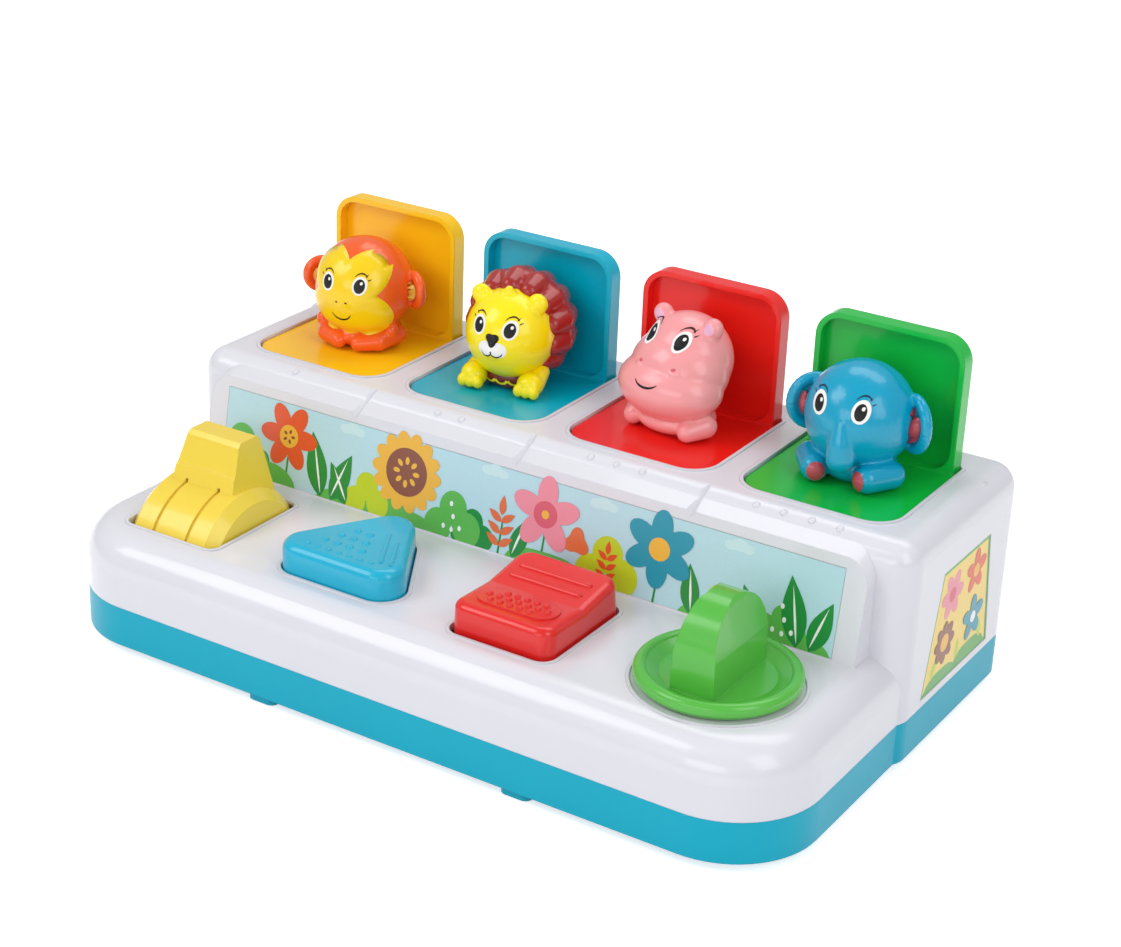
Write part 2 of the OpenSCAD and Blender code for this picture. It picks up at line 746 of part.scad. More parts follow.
module hippo_body() color(pink_c) on_floor(3) {
  peg();
  pill_disc(15, 7, 3);
  translate([0, 2.5, 26]) sphere(17);
  translate([0, -4, 19]) sphere(17.6);
  for (s = [-1, 1]) {
    translate([s * 8, -7, 17.5]) sphere(14.2);
    translate([s * 4.8, -19.6, 25.5]) sphere(2.2);
    translate([s * 11.6, 3, 40]) sphere(3.7);
    translate([s * 15, -8, 4.9]) sphere(4.9);
  }
}

module elephant_ear(s) translate([s * 19, 3, head_h - 0.5]) rotate([0, 0, -s * ear_turn])
  rotate([90, 0, 0]) children();

// The sole of a foot, turned in towards the trunk.
module elephant_sole(s) translate([s * 9.2, -15.2, 5.3]) rotate([0, 0, -s * 32]) children();

module elephant_body() color(blue_c) on_floor(4) {
  peg();
  translate([0, 0, head_h]) sphere(head_r);
  pill_disc(14.5, 9, 4);
  // trunk
  translate([0, -17.4, 11.5]) cylinder(r = trunk_r, h = 9.7);
  translate([0, -17.4, 11.5]) sphere(trunk_r);
  translate([0, -17.4, 21.2]) sphere(trunk_r);
  for (s = [-1, 1]) {
    difference() {
      elephant_ear(s) translate([0, 0, -2.4]) pill_disc(10.6, 4.8, 2.3);
      elephant_ear(s) translate([0, 0, 1.4]) cylinder(r = 7.4, h = 6);
    }
    elephant_sole(s) y_bar(5.2, 0, 12);
    elephant_sole(s) translate([0, 12, 0]) rotate([90, 0, 0]) side_ball(s, 5.2);
  }
}

module elephant_pads() color(rose_c) on_floor(4) for (s = [-1, 1]) {
  difference() {
    elephant_ear(s) translate([0, 0, 1.4]) cylinder(r = 7.3, h = 0.7);
    translate([0, 0, head_h]) sphere(head_r + skin_gap);
  }
  elephant_sole(s) y_bar(3.4, -0.7, 0);
}

// ---------------------------------------------------------------- latches

// Sliding latch of door i: pad driven by the control, cross arm, bar between the doors and
// an upright behind the hinge that carries the hook.
module latch_slider(i) color(acetal_c) translate([door_x(i), 0, 0]) {
  translate([bar_x - bar_w / 2, bar_front_y, bar_z])
    cube([bar_w, upright_y + upright_t - bar_front_y, bar_t]);
  translate([-pad_w / 2, bar_front_y, bar_z])
    cube([bar_x + bar_w / 2 + pad_w / 2, arm_back_y - bar_front_y, bar_t]);
  translate([bar_x - bar_w / 2, upright_y, bar_z]) cube([bar_w, upright_t, upright_top_z - bar_z]);
  translate([bar_x - 4.4, collar_y, bar_z - 2]) cube([8.8, 2.5, 8]);
  children();
}

// Upright face that a swinging finger pushes.
module pad_face(top) {
  translate([-pad_w / 2, control_y + finger_r + slide_gap, bar_z]) cube([pad_w, pad_t, top - bar_z]);
}

module latch_slider_1() latch_slider(1) pad_face(drum_z - toggle_arm + 2.4);

// The button's wedge pushes this slanted face back.
module latch_slider_2() latch_slider(2) {
  y0 = control_y + 4 + slide_gap * 1.3;
  side_view(-pad_w / 2, pad_w / 2) polygon([[y0, bar_z + 16], [y0 + pad_t, bar_z + 16],
    [y0 + pad_t, bar_z], [y0 - 10 * wedge_slope, bar_z], [y0 - 10 * wedge_slope, bar_z + 6]]);
}

module latch_slider_3() latch_slider(3) pad_face(rocker_z - rocker_arm + 3);

module latch_slider_4() latch_slider(4) {
  translate([-pad_w / 2, control_y + cam_push + slide_gap, bar_z])
    cube([pad_w, pad_t, cam_z + cam_t - bar_z]);
}

// Springy hook riveted behind the upright. Its barb lies under the door's lug when shut.
module latch_hook(i) color(acetal_c) translate([door_x(i) + bar_x - 2.4, 0, 0]) {
  y = upright_y + upright_t;
  z = hinge_z - lug_d / 2 - slide_gap;
  side_view(-2.4, 2.4) polygon([[y, hinge_z - 24], [y + 1.3, hinge_z - 24], [y + 1.3, z],
    [hinge_y + lug_r - 1.7, z], [hinge_y + lug_r - 1.5, z - 1.2], [y, z - 7.8]]);
}

// Return spring between the slider's collar and its guide.
module latch_spring(i) color(steel_c) translate([door_x(i) + bar_x, 0, bar_z + bar_t / 2]) difference() {
  y_bar(latch_coil_r, collar_y + 2.6, guide_y - 0.1);
  y_bar(latch_coil_r - 0.8, collar_y, guide_y + 1);
}

// ---------------------------------------------------------------- toggle

module at_toggle() translate([door_x(1), control_y, drum_z]) children();

module drum_view(r, a0, a1) {
  intersection() {
    circle(r);
    polygon(concat([[0, 0]], [for (k = [0:8]) let (a = a0 + (a1 - a0) * k / 8) 2 * r * [cos(a), sin(a)]]));
  }
}

module toggle_lever() color(yellow_c) at_toggle() difference() {
  union() {
    // drum, an open half shell with closed cheeks
    difference() {
      side_view(-drum_w / 2, drum_w / 2) drum_view(drum_r, -5, 158);
      side_view(-drum_w / 2 + drum_t, drum_w / 2 - drum_t) drum_view(drum_r - drum_t, -12, 164);
      // softened cheeks
      for (s = [-1, 1]) translate([s * drum_w / 2, 0, 0]) rotate([0, s * 90, 0]) rotate_extrude()
        polygon([[drum_r - 4, 0.01], [drum_r + 2, 0.01], [drum_r + 2, -6]]);
    }
    toggle_tab();
    // pivot rib with the finger that drives the latch
    side_view(-4, 4) {
      circle(5);
      polygon([[-4, 0], [4, 0], [3, drum_r - drum_t + 0.5], [-3, drum_r - drum_t + 0.5]]);
      polygon([[-finger_r, -toggle_arm], [finger_r, -toggle_arm], [finger_r, -3], [-finger_r, -3]]);
    }
    translate([0, 0, -toggle_arm]) x_bar(finger_r, -4, 4);
    for (s = [-1, 1]) x_bar_at(s * (drum_w / 2 - 2), 5, 2);
  }
  x_bar(pin_bore_d / 2, -40, 40);
  // two grooves round the front of the drum
  for (s = [-1, 1]) translate([s * 7.6, 0, 0]) rotate([0, 90, 0]) difference() {
    translate([0, 0, -0.6]) cylinder(r = drum_r + 1, h = 1.2);
    translate([0, 0, -1]) cylinder(r = drum_r - 0.9, h = 2);
    translate([-40, 3, -2]) cube([80, 40, 4]);
  }
}

module x_bar_at(x, r, half) translate([x, 0, 0]) x_bar(r, -half, half);

// Finger tab: a wedge with two steps on its front.
module toggle_tab() {
  h = drum_r + 17;
  difference() {
    side_view(-15, 15) polygon([[-6, drum_r - 3], [-3.5, drum_r + 5], [-2.7, drum_r + 5.4], [0.5, h - 4],
      [1.3, h - 1.5], [3, h], [12, h], [13.5, h - 1.5], [18.5, 20], [-5, 20]]);
    for (s = [-1, 1]) translate([s * 12, 0, h]) rotate([0, s * -8, 0]) translate([s * 5 - 5, -20, -30])
      cube([10, 60, 40]);
    side_view(-20, 20) circle(drum_r - drum_t);
  }
}

module key_pin() x_bar(pin_d / 2, -key_half, key_half);

module toggle_pin() color(steel_c) at_toggle() key_pin();

// ---------------------------------------------------------------- push button

module at_button() translate([door_x(2), control_y, 0]) children();

module triangle_button() color(blue_c) at_button() {
  difference() {
    union() {
      translate([0, 0, deck_under_z - 1]) linear_extrude(cap_top_z - 3 - deck_under_z) tri_plan(tri_r);
      translate([0, 0, cap_top_z - 8]) tri_crown();
      translate([0, 0, deck_under_z - slide_gap - flange_t]) linear_extrude(flange_t) tri_plan(tri_r + 2.4);
      button_dots();
      // two ridges beside the right edge
      for (k = [0, 1]) translate([12.5 + 4.2 * k, -7, cap_top_z - 0.4]) rotate([0, 0, 28.5])
        y_bar(0.9, -8, 15 - 5 * k);
    }
    linear_extrude(cap_top_z - cap_t) tri_plan(tri_r - 2.2);
  }
  // stem with the wedge that drives the latch
  side_view(-4, 4) polygon([[-8.5, bar_z + 6], [4 - 10 * wedge_slope, bar_z + 6], [4, bar_z + 16],
    [4, cap_top_z - 2], [-8.5, cap_top_z - 2]]);
}

// Rounded top edge of the cap.
module tri_crown() hull() for (c = tri_centres()) translate([c[0], c[1], 0]) rotate_extrude($fn = 36)
  edge_section(tri_r, 8, 3.5, $fn = 32);

// Small dots along the front edge and in shorter rows behind it.
module button_dots() {
  for (k = [-3:3]) translate([k * 4.6, -16.5, cap_top_z - 0.6]) sphere(1.3);
  for (row = [0:2]) for (k = [0:3 - row])
    translate([(k - (3 - row) / 2) * 5.4 - 2.5, -10.5 + row * 6, cap_top_z - 0.9]) sphere(1.8);
}

module button_spring() color(steel_c) translate([door_x(2), button_spring_y, 0]) difference() {
  translate([0, 0, floor_z]) cylinder(r = button_coil_r, h = cap_top_z - cap_t - floor_z);
  translate([0, 0, floor_z - 1]) cylinder(r = button_coil_r - 0.9, h = cap_top_z);
}

// ---------------------------------------------------------------- rocker

module at_rocker() translate([door_x(3), control_y, rocker_z]) children();

module rocker_key() color(red_c) at_rocker() {
  difference() {
    union() {
      intersection() {
        translate([-rocker_w, -rocker_l / 2, -key_skirt]) cube([2 * rocker_w, rocker_l, 40]);
        union() {
          translate([0, -rocker_l / 2, key_front_h]) rotate([front_tilt, 0, 0]) translate([0, 0, -25])
            soft_box(rocker_w, 0, rocker_l / 2 + 9, 6, 25, 3);
          translate([0, -2, key_mid_h]) rotate([rear_tilt, 0, 0]) translate([0, 0, -25])
            soft_box(rocker_w - 0.1, -9, rocker_l / 2 + 2, 6, 25, 3);
        }
      }
      key_pad();
      key_ribs();
    }
    translate([0, 0, -key_skirt - 1]) linear_extrude(key_mid_h - 2.4 + key_skirt + 1)
      plan_rect(rocker_w - 2 * key_t, -rocker_l / 2 + key_t, rocker_l / 2 - key_t, 4, 4);
    x_bar(pin_bore_d / 2, -40, 40);
  }
  difference() {
    union() {
      side_view(-4, 4) polygon([[-finger_r, -rocker_arm], [finger_r, -rocker_arm], [finger_r, -12], [4, 0],
        [4, key_mid_h - 2], [-4, key_mid_h - 2], [-4, 0], [-finger_r, -12]]);
      translate([0, 0, -rocker_arm]) x_bar(finger_r, -4, 4);
      for (s = [-1, 1]) x_bar_at(s * (rocker_w / 2 - 2), 4, 2);
    }
    x_bar(pin_bore_d / 2, -40, 40);
  }
}

// Raised pad with three rows of dots on the front half.
module key_pad() translate([0, -rocker_l / 2, key_front_h]) rotate([front_tilt, 0, 0]) {
  translate([0, 12.5, -1]) linear_extrude(1.6) plan_rect(31, -6.5, 6.5, 6, 6);
  for (row = [-1:1]) for (k = [-3:3]) if (abs(k) + abs(row) < 4)
    translate([k * 3.9 + row * 1.2, 12.5 + row * 3.6, 0.5]) sphere(1.2);
}

// Two long ribs on the rear half.
module key_ribs() translate([0, -2, key_mid_h]) rotate([rear_tilt, 0, 0])
  for (y = [8, 14.5]) translate([0, y, -0.2]) {
    x_bar_at(0, 1.3, 13.5);
    for (s = [-1, 1]) translate([s * 13.5, 0, 0]) sphere(1.3);
  }

module rocker_pin() color(steel_c) at_rocker() key_pin();

// ---------------------------------------------------------------- dial

module at_dial() translate([door_x(4), control_y, deck_z]) children();

module dial_knob() color(green_c) at_dial() difference() {
  union() {
    // dished ring
    rotate_extrude() {
      polygon([[0, 0.6], [dial_r - 1.6, 0.6], [dial_r, 2.4], [dial_r, 3.8], [dial_r - 2.4, 6.2], [19.5, 3],
        [0, 3]]);
      translate([dial_r - 2.4, 3.8]) circle(2.4);
    }
    // grip, an upright arch
    intersection() {
      side_view(-9, 9) {
        translate([0, grip_h - grip_r]) circle(grip_r);
        translate([-grip_r, 1]) square([2 * grip_r, grip_h - grip_r - 1]);
      }
      translate([0, 30, 0]) rotate([90, 0, 0]) linear_extrude(60)
        polygon([[-8.2, 0], [8.2, 0], [7.8, 16], [5.6, grip_h - 1.5], [4.2, grip_h + 0.1],
          [-4.2, grip_h + 0.1], [-5.6, grip_h - 1.5], [-7.8, 16]]);
    }
    translate([0, 0, cam_z + cam_t - deck_z]) cylinder(r = hub_r, h = deck_z - cam_z - cam_t + 1);
    translate([-2, -5, cam_z + cam_t - deck_z - 2]) cube([4, 10, 3]);
  }
  translate([0, 0, -20]) cylinder(r = 1.3, h = 22);
}

function cam_point(a) = (cam_r0 + latch_travel / dial_turn * (90 - a)) * [cos(a), sin(a)];

// Spiral cam keyed to the dial's hub. Its radius grows evenly with the dial's turn.
module dial_cam() color(acetal_c) translate([door_x(4), control_y, cam_z]) difference() {
  linear_extrude(cam_t) {
    polygon(concat([[0, 0]], [for (a = [66 - dial_turn:4:114]) cam_point(a)]));
    circle(6.6);
  }
  translate([0, 0, -1]) cylinder(r = 1.7, h = cam_t + 2);
  translate([-2.1, -5.1, cam_t - 2.1]) cube([4.2, 10.2, 3]);
}

module dial_screw() color(steel_c) translate([door_x(4), control_y, cam_z - 2]) {
  difference() {
    cylinder(r = 3, h = 2);
    for (a = [0, 90]) rotate([0, 0, a]) translate([-1.9, -0.4, -1]) cube([3.8, 0.8, 2]);
  }
  cylinder(r = 1.3, h = 15);
}

module hinge_pin_1() hinge_pin(1);
module hinge_pin_2() hinge_pin(2);
module hinge_pin_3() hinge_pin(3);
module hinge_pin_4() hinge_pin(4);
module door_spring_1() door_spring(1);
module door_spring_2() door_spring(2);
module door_spring_3() door_spring(3);
module door_spring_4() door_spring(4);
module latch_hook_1() latch_hook(1);
module latch_hook_2() latch_hook(2);
module latch_hook_3() latch_hook(3);
module latch_hook_4() latch_hook(4);
module latch_spring_1() latch_spring(1);
module latch_spring_2() latch_spring(2);
module latch_spring_3() latch_spring(3);
module latch_spring_4() latch_spring(4);

upper_shell();
base_tray();
case_screws();
front_label();
side_label();
door_yellow();
door_teal();
door_red();
door_green();
hinge_pin_1();
hinge_pin_2();
hinge_pin_3();
hinge_pin_4();
door_spring_1();
door_spring_2();
door_spring_3();
door_spring_4();
monkey_body();
monkey_face();
lion_mane();
lion_head();
lion_paws();
hippo_body();
elephant_body();
elephant_pads();
latch_slider_1();
latch_slider_2();
latch_slider_3();
latch_slider_4();
latch_hook_1();
latch_hook_2();
latch_hook_3();
latch_hook_4();
latch_spring_1();
latch_spring_2();
latch_spring_3();
latch_spring_4();
toggle_lever();
toggle_pin();
triangle_button();
button_spring();
rocker_key();
rocker_pin();
dial_knob();
dial_cam();
dial_screw();
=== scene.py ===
"""Pop-up animal toy: materials, printed labels, dressed animals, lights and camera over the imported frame.

Lengths in the helper calls are millimetres unless a name says otherwise; MM turns them into metres.
"""
import math

import bmesh
import bpy
from mathutils import Euler, Matrix, Vector
from mathutils.bvhtree import BVHTree

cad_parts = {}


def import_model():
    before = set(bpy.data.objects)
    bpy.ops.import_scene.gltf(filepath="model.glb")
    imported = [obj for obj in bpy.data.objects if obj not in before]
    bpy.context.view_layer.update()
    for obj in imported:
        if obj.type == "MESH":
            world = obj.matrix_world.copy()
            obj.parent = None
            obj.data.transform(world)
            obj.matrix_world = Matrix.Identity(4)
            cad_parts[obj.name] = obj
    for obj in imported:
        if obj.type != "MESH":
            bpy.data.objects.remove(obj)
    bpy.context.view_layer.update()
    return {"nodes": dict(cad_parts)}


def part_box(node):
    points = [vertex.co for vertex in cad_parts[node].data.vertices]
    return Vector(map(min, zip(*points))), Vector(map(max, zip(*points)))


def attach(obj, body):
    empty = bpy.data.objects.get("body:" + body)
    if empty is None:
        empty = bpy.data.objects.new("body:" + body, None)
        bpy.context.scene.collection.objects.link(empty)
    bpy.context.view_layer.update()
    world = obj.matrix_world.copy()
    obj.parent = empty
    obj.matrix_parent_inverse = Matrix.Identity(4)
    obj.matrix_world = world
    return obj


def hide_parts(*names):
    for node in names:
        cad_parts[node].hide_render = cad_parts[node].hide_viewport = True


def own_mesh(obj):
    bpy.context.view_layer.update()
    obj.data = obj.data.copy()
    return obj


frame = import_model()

MM = 0.001
NODES = frame["nodes"]

# ------------------------------------------------------------------ sizes shared with the solids
PITCH = 71.6                                            # from one door to the next
DOOR_X = [(i - 1.5) * PITCH for i in range(4)]
HINGE_Y, HINGE_Z = 64.3, 80.3                           # the doors' hinge line
FIGURE_SET = 20.3                                       # from the hinge line forward to a figure's peg
FLOOR_TOP = 5.1                                         # from the hinge line up to the floor of an open door
DECK_Z = 44.5
PANEL_FOOT_Y, PANEL_TOP_Z, PANEL_LEAN = -15.6, 80.8, 6.2  # the sloping panel that carries the front label
SIDE_LABEL_FOOT = (152.2, 14.8, 22.0)                   # its front lower corner
SIDE_LABEL_OUTLINE = [(0, 0), (57, 0), (49.5, 45), (10, 45)]
DOT_PITCH, DOT_Y = 10.6, 0.3                            # counting dots: spacing and row
BODIES = ["monkey_door", "lion_door", "hippo_door", "elephant_door"]
FIGURE_TURN = [10, 8, -9, 3]                            # degrees about the peg

# ------------------------------------------------------------------ prints and paint, above what carries them
PRINT_LIFT, PRINT_LAYER = 0.06, 0.05                    # on the animals
LABEL_LIFT, LABEL_LAYER, PATCH_STEP = 0.03, 0.018, 0.0006   # on the labels, and between overlapping patches
MOST_PATCH_STEPS = 25

# ------------------------------------------------------------------ colours, as sRGB hex
COLOURS = {
    "shell": "DEDDE4", "tray": "00A8C2", "toggle": "F2D447", "button": "12AFD0", "rocker": "E3231F",
    "dial": "58B944", "door_yellow": "FFC812", "door_teal": "00B0CC", "door_red": "F02018",
    "door_green": "12BC42", "orange": "F5601F", "face": "FBD30C", "inner_ear": "F7BC4A", "mane": "A42622",
    "chest": "701812", "lion": "FFE80A", "pink": "F6A0A2", "pink_ear": "EDB4CE", "blue": "009FC4",
    "rose": "C24A58", "white": "F7F5F2", "black": "08070A", "brow": "3B1712", "navy": "0B2B4E",
    "steel": "B9BBBF", "acetal": "DAD9D2",
    "sky": "BBDFE9", "sky_pale": "CBE8EC", "green": "5FB94F", "leaf": "1E8E3C", "lime": "C3D424",
    "coral": "E4703F", "print_orange": "E5562A", "print_gold": "F2B73C", "print_brown": "8A4A35",
    "print_pink": "F08FA0", "print_rose": "DD5A6E", "print_teal": "1595AE", "print_white": "F6F8F4",
    "sun": "F8D66B", "border": "58A84A",
}


def rgb(name):
    """A colour by name, from sRGB hex to linear."""
    h = COLOURS[name]
    out = []
    for k in (0, 2, 4):
        c = int(h[k:k + 2], 16) / 255
        out.append(c / 12.92 if c <= 0.04045 else ((c + 0.055) / 1.055) ** 2.4)
    return out


# ------------------------------------------------------------------ materials
class Nodes:
    """Short hand for building a node tree."""

    def __init__(self, name):
        self.mat = bpy.data.materials.new(name)
        self.mat.use_nodes = True
        self.tree = self.mat.node_tree
        self.tree.nodes.clear()

    def add(self, kind, **sockets):
        node = self.tree.nodes.new("ShaderNode" + kind)
        for key, value in sockets.items():
            node.inputs[key.replace("_", " ")].default_value = value
        return node

    def link(self, a, out, b, into):
        self.tree.links.new(a.outputs[out], b.inputs[into])

    def noise(self, coords, scale, detail=3.0, rough=0.5):
        n = self.add("TexNoise", Scale=scale, Detail=detail, Roughness=rough)
        self.link(coords, "Object", n, "Vector")
        return n

    def spread(self, source, low, high, a=0.3, b=0.7):
        """Maps a noise's middle band a to b onto low to high."""
        m = self.add("MapRange")
        m.inputs["From Min"].default_value, m.inputs["From Max"].default_value = a, b
        m.inputs["To Min"].default_value, m.inputs["To Max"].default_value = low, high
        self.link(source, "Fac" if "Fac" in source.outputs else 0, m, "Value")
        return m

    def tint(self, factor, dark, light):
        mix = self.tree.nodes.new("ShaderNodeMix")
        mix.data_type = "RGBA"
        mix.inputs[6].default_value = (*dark, 1)
        mix.inputs[7].default_value = (*light, 1)
        self.tree.links.new(factor.outputs[0], mix.inputs[0])
        return mix


def plastic(name, colour, rough=0.25, coat=0.3, edge=0.45, vary=0.018, grain=0.025, sheen=0.36):
    """Moulded plastic: slight flow marks in the colour, a faint orange-peel bump, fine scuffs in the
    gloss, and edges rounded by edge millimetres."""
    n = Nodes(name)
    coords = n.add("TexCoord")
    base = rgb(colour)
    flow = n.spread(n.noise(coords, 22.0, 4.0, 0.55), 0.0, 1.0)
    tint = n.tint(flow, [c * (1 - vary) for c in base], [min(1.0, c * (1 + vary)) for c in base])
    scuff = n.spread(n.noise(coords, 160.0, 6.0, 0.7), rough - 0.02, rough + 0.04, 0.35, 0.8)
    round_off = n.add("Bevel", Radius=edge * MM)
    round_off.samples = 6
    peel = n.add("Bump", Strength=grain, Distance=0.4 * MM)
    n.link(n.noise(coords, 420.0, 2.0), "Fac", peel, "Height")
    n.link(round_off, "Normal", peel, "Normal")
    shader = n.add("BsdfPrincipled", IOR=1.5)
    shader.inputs["Specular IOR Level"].default_value = sheen
    shader.inputs["Coat Weight"].default_value = coat
    shader.inputs["Coat Roughness"].default_value = 0.08
    n.tree.links.new(tint.outputs[2], shader.inputs["Base Color"])
    n.link(scuff, "Result", shader, "Roughness")
    n.link(peel, "Normal", shader, "Normal")
    n.link(shader, "BSDF", n.add("OutputMaterial"), "Surface")
    return n.mat


def print_ink(name, colour):
    """Printed film: a fine halftone dot in the colour and a satin laminate."""
    n = Nodes(name)
    coords = n.add("TexCoord")
    base = rgb(colour)
    dots = n.add("TexVoronoi", Scale=2600.0)
    n.link(coords, "Object", dots, "Vector")
    screen = n.add("MapRange")
    n.link(dots, "Distance", screen, "Value")
    screen.inputs["From Max"].default_value = 0.6
    tint = n.tint(screen, [min(1.0, c * 1.03) for c in base], [c * 0.95 for c in base])
    wave = n.spread(n.noise(coords, 60.0, 3.0), 0.33, 0.43)
    shader = n.add("BsdfPrincipled", IOR=1.46)
    shader.inputs["Coat Weight"].default_value = 0.25
    shader.inputs["Coat Roughness"].default_value = 0.2
    n.tree.links.new(tint.outputs[2], shader.inputs["Base Color"])
    n.link(wave, "Result", shader, "Roughness")
    n.link(shader, "BSDF", n.add("OutputMaterial"), "Surface")
    return n.mat


def brushed(name):
    """Zinc-plated steel wire and pins, with drawing marks."""
    n = Nodes(name)
    coords = n.add("TexCoord")
    base = rgb("steel")
    stretch = n.add("Mapping")
    stretch.inputs["Scale"].default_value = (60.0, 900.0, 900.0)
    n.link(coords, "Object", stretch, "Vector")
    lines = n.add("TexNoise", Scale=1.0, Detail=4.0)
    n.link(stretch, "Vector", lines, "Vector")
    tint = n.tint(n.spread(lines, 0.0, 1.0), [c * 0.85 for c in base], base)
    shader = n.add("BsdfPrincipled", Metallic=1.0)
    n.tree.links.new(tint.outputs[2], shader.inputs["Base Color"])
    n.link(n.spread(lines, 0.22, 0.4), "Result", shader, "Roughness")
    n.link(shader, "BSDF", n.add("OutputMaterial"), "Surface")
    return n.mat


INK_KEYS = ("sky", "sky_pale", "green", "leaf", "lime", "coral", "sun", "border")
PAINT_KEYS = ("black", "brow", "navy", "white")
PAINT = {"rough": 0.42, "coat": 0.0, "edge": 0.05, "vary": 0.02, "grain": 0.02}
DOOR = {"rough": 0.24, "coat": 0.2, "edge": 0.9, "sheen": 0.3}
CASING = {"tray": {"rough": 0.36, "coat": 0.0, "edge": 0.7, "sheen": 0.25},
          "shell": {"rough": 0.22, "coat": 0.3, "edge": 0.7, "vary": 0.012}}
ready = {}


def material(key):
    """One material per colour key, made on first use."""
    if key not in ready:
        if key == "steel":
            ready[key] = brushed("steel_plated")
        elif key in INK_KEYS or key.startswith("print"):
            ready[key] = print_ink("film_" + key, key)
        elif key in PAINT_KEYS:
            ready[key] = plastic("paint_" + key, key, **PAINT)
        elif key.startswith("door"):
            ready[key] = plastic("plastic_" + key, key, **DOOR)
        else:
            ready[key] = plastic("plastic_" + key, key, **CASING.get(key, {}))
    return ready[key]


NODE_COLOUR = {
    "upper_shell": "shell", "base_tray": "tray", "front_label": "sky", "side_label": "sun",
    "toggle_lever": "toggle", "triangle_button": "button", "rocker_key": "rocker", "dial_knob": "dial",
    "door_yellow": "door_yellow", "door_teal": "door_teal", "door_red": "door_red",
    "door_green": "door_green", "monkey_body": "orange", "monkey_face": "face", "lion_mane": "mane",
    "lion_head": "lion", "lion_paws": "lion", "hippo_body": "pink", "elephant_body": "blue",
    "elephant_pads": "rose", "dial_cam": "acetal",
}


def dress_cad_nodes():
    """Gives every CAD node its material: latches are acetal, and what isn't listed is steel."""
    for name, node in NODES.items():
        inner = "acetal" if name.startswith(("latch_slider", "latch_hook")) else "steel"
        key = NODE_COLOUR.get(name, inner)
        if not node.material_slots:
            node.data.materials.append(None)
        for slot in node.material_slots:
            slot.link = "OBJECT"
            slot.material = material(key)


def add_object(name, mesh, body, colour):
    """A smooth-shaded piece that rides on a body."""
    obj = bpy.data.objects.new(name, mesh)
    bpy.context.scene.collection.objects.link(obj)
    mesh.materials.append(material(colour))
    for p in mesh.polygons:
        p.use_smooth = True
    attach(obj, body)
    return obj


class Clay:
    """Collects ellipsoids, capsules and rings in millimetres, then melts them into one soft skin."""

    def __init__(self, fig):
        self.bm = bmesh.new()
        self.fig = fig

    def ball(self, centre, radii, turn=(0, 0, 0), detail=4):
        radii = (radii,) * 3 if isinstance(radii, (int, float)) else radii
        place = (self.fig.place @ Matrix.Translation(Vector(centre))
                 @ Euler([math.radians(t) for t in turn]).to_matrix().to_4x4()
                 @ Matrix.Diagonal((*radii, 1)))
        bmesh.ops.create_icosphere(self.bm, subdivisions=detail, radius=1.0, matrix=place)

    def rod(self, a, b, ra, rb, steps=10):
        a, b = Vector(a), Vector(b)
        for k in range(steps + 1):
            t = k / steps
            self.ball(a.lerp(b, t), ra + (rb - ra) * t, detail=3)

    def ring(self, centre, radius, tube, turn=(0, 0, 0), squash=1.0, steps=30):
        spin = Euler([math.radians(t) for t in turn]).to_matrix()
        for k in range(steps):
            a = 2 * math.pi * k / steps
            offset = Vector((radius * math.cos(a), 0, radius * squash * math.sin(a)))
            self.ball(Vector(centre) + spin @ offset, tube, detail=2)

    def melt(self, name, colour, voxel=0.5, soften=7):
        mesh = bpy.data.meshes.new(name)
        for v in self.bm.verts:
            v.co *= MM
        self.bm.to_mesh(mesh)
        self.bm.free()
        obj = bpy.data.objects.new(name, mesh)
        bpy.context.scene.collection.objects.link(obj)
        remesh = obj.modifiers.new("skin", "REMESH")
        remesh.mode = "VOXEL"
        remesh.voxel_size = voxel * MM
        smooth = obj.modifiers.new("soft", "SMOOTH")
        smooth.factor, smooth.iterations = 0.5, soften
        skin = bpy.data.meshes.new_from_object(obj.evaluated_get(bpy.context.evaluated_depsgraph_get()))
        bpy.data.objects.remove(obj)
        skin.name = name
        skin.materials.clear()
        return add_object(name, skin, self.fig.body, colour)


def surface_of(obj):
    """A ray target of an object's mesh, in metres."""
    mesh = obj.data
    return BVHTree.FromPolygons([v.co.copy() for v in mesh.vertices], [tuple(p.vertices) for p in mesh.polygons])


def web(count, rings):
    """The faces of a centre point with rings of count points round it."""
    faces = []
    for k in range(count):
        faces.append((0, 1 + k, 1 + (k + 1) % count))
        for r in range(1, rings):
            i, j = 1 + (r - 1) * count, 1 + r * count
            faces.append((i + k, j + k, j + (k + 1) % count, i + (k + 1) % count))
    return faces


def oval(cx, cz, rx, rz, turn=0.0, count=28, rings=4):
    """An oval as rings of points: (points, faces)."""
    points = [(cx, cz)]
    ca, sa = math.cos(math.radians(turn)), math.sin(math.radians(turn))
    for r in range(1, rings + 1):
        for k in range(count):
            a = 2 * math.pi * k / count
            u, w = rx * r / rings * math.cos(a), rz * r / rings * math.sin(a)
            points.append((cx + u * ca - w * sa, cz + u * sa + w * ca))
    return points, web(count, rings)


def outline(centre, radius_at, count=72, rings=10):
    """A star-shaped patch round centre: radius_at(angle in degrees) gives its edge."""
    points = [tuple(centre)]
    for r in range(1, rings + 1):
        for k in range(count):
            a = 2 * math.pi * k / count
            d = radius_at(math.degrees(a)) * r / rings
            points.append((centre[0] + d * math.cos(a), centre[1] + d * math.sin(a)))
    return points, web(count, rings)


def stroke(path, widths):
    """A brush stroke along a path: two points across at each step."""
    points, faces = [], []
    for i, p in enumerate(path):
        a, b = Vector(path[max(0, i - 1)]), Vector(path[min(len(path) - 1, i + 1)])
        side = Vector((-(b - a).y, (b - a).x)).normalized() * widths[i] / 2
        points += [(p[0] + side.x, p[1] + side.y), (p[0] - side.x, p[1] - side.y)]
        if i:
            faces.append((2 * i - 2, 2 * i - 1, 2 * i + 1, 2 * i))
    return points, faces


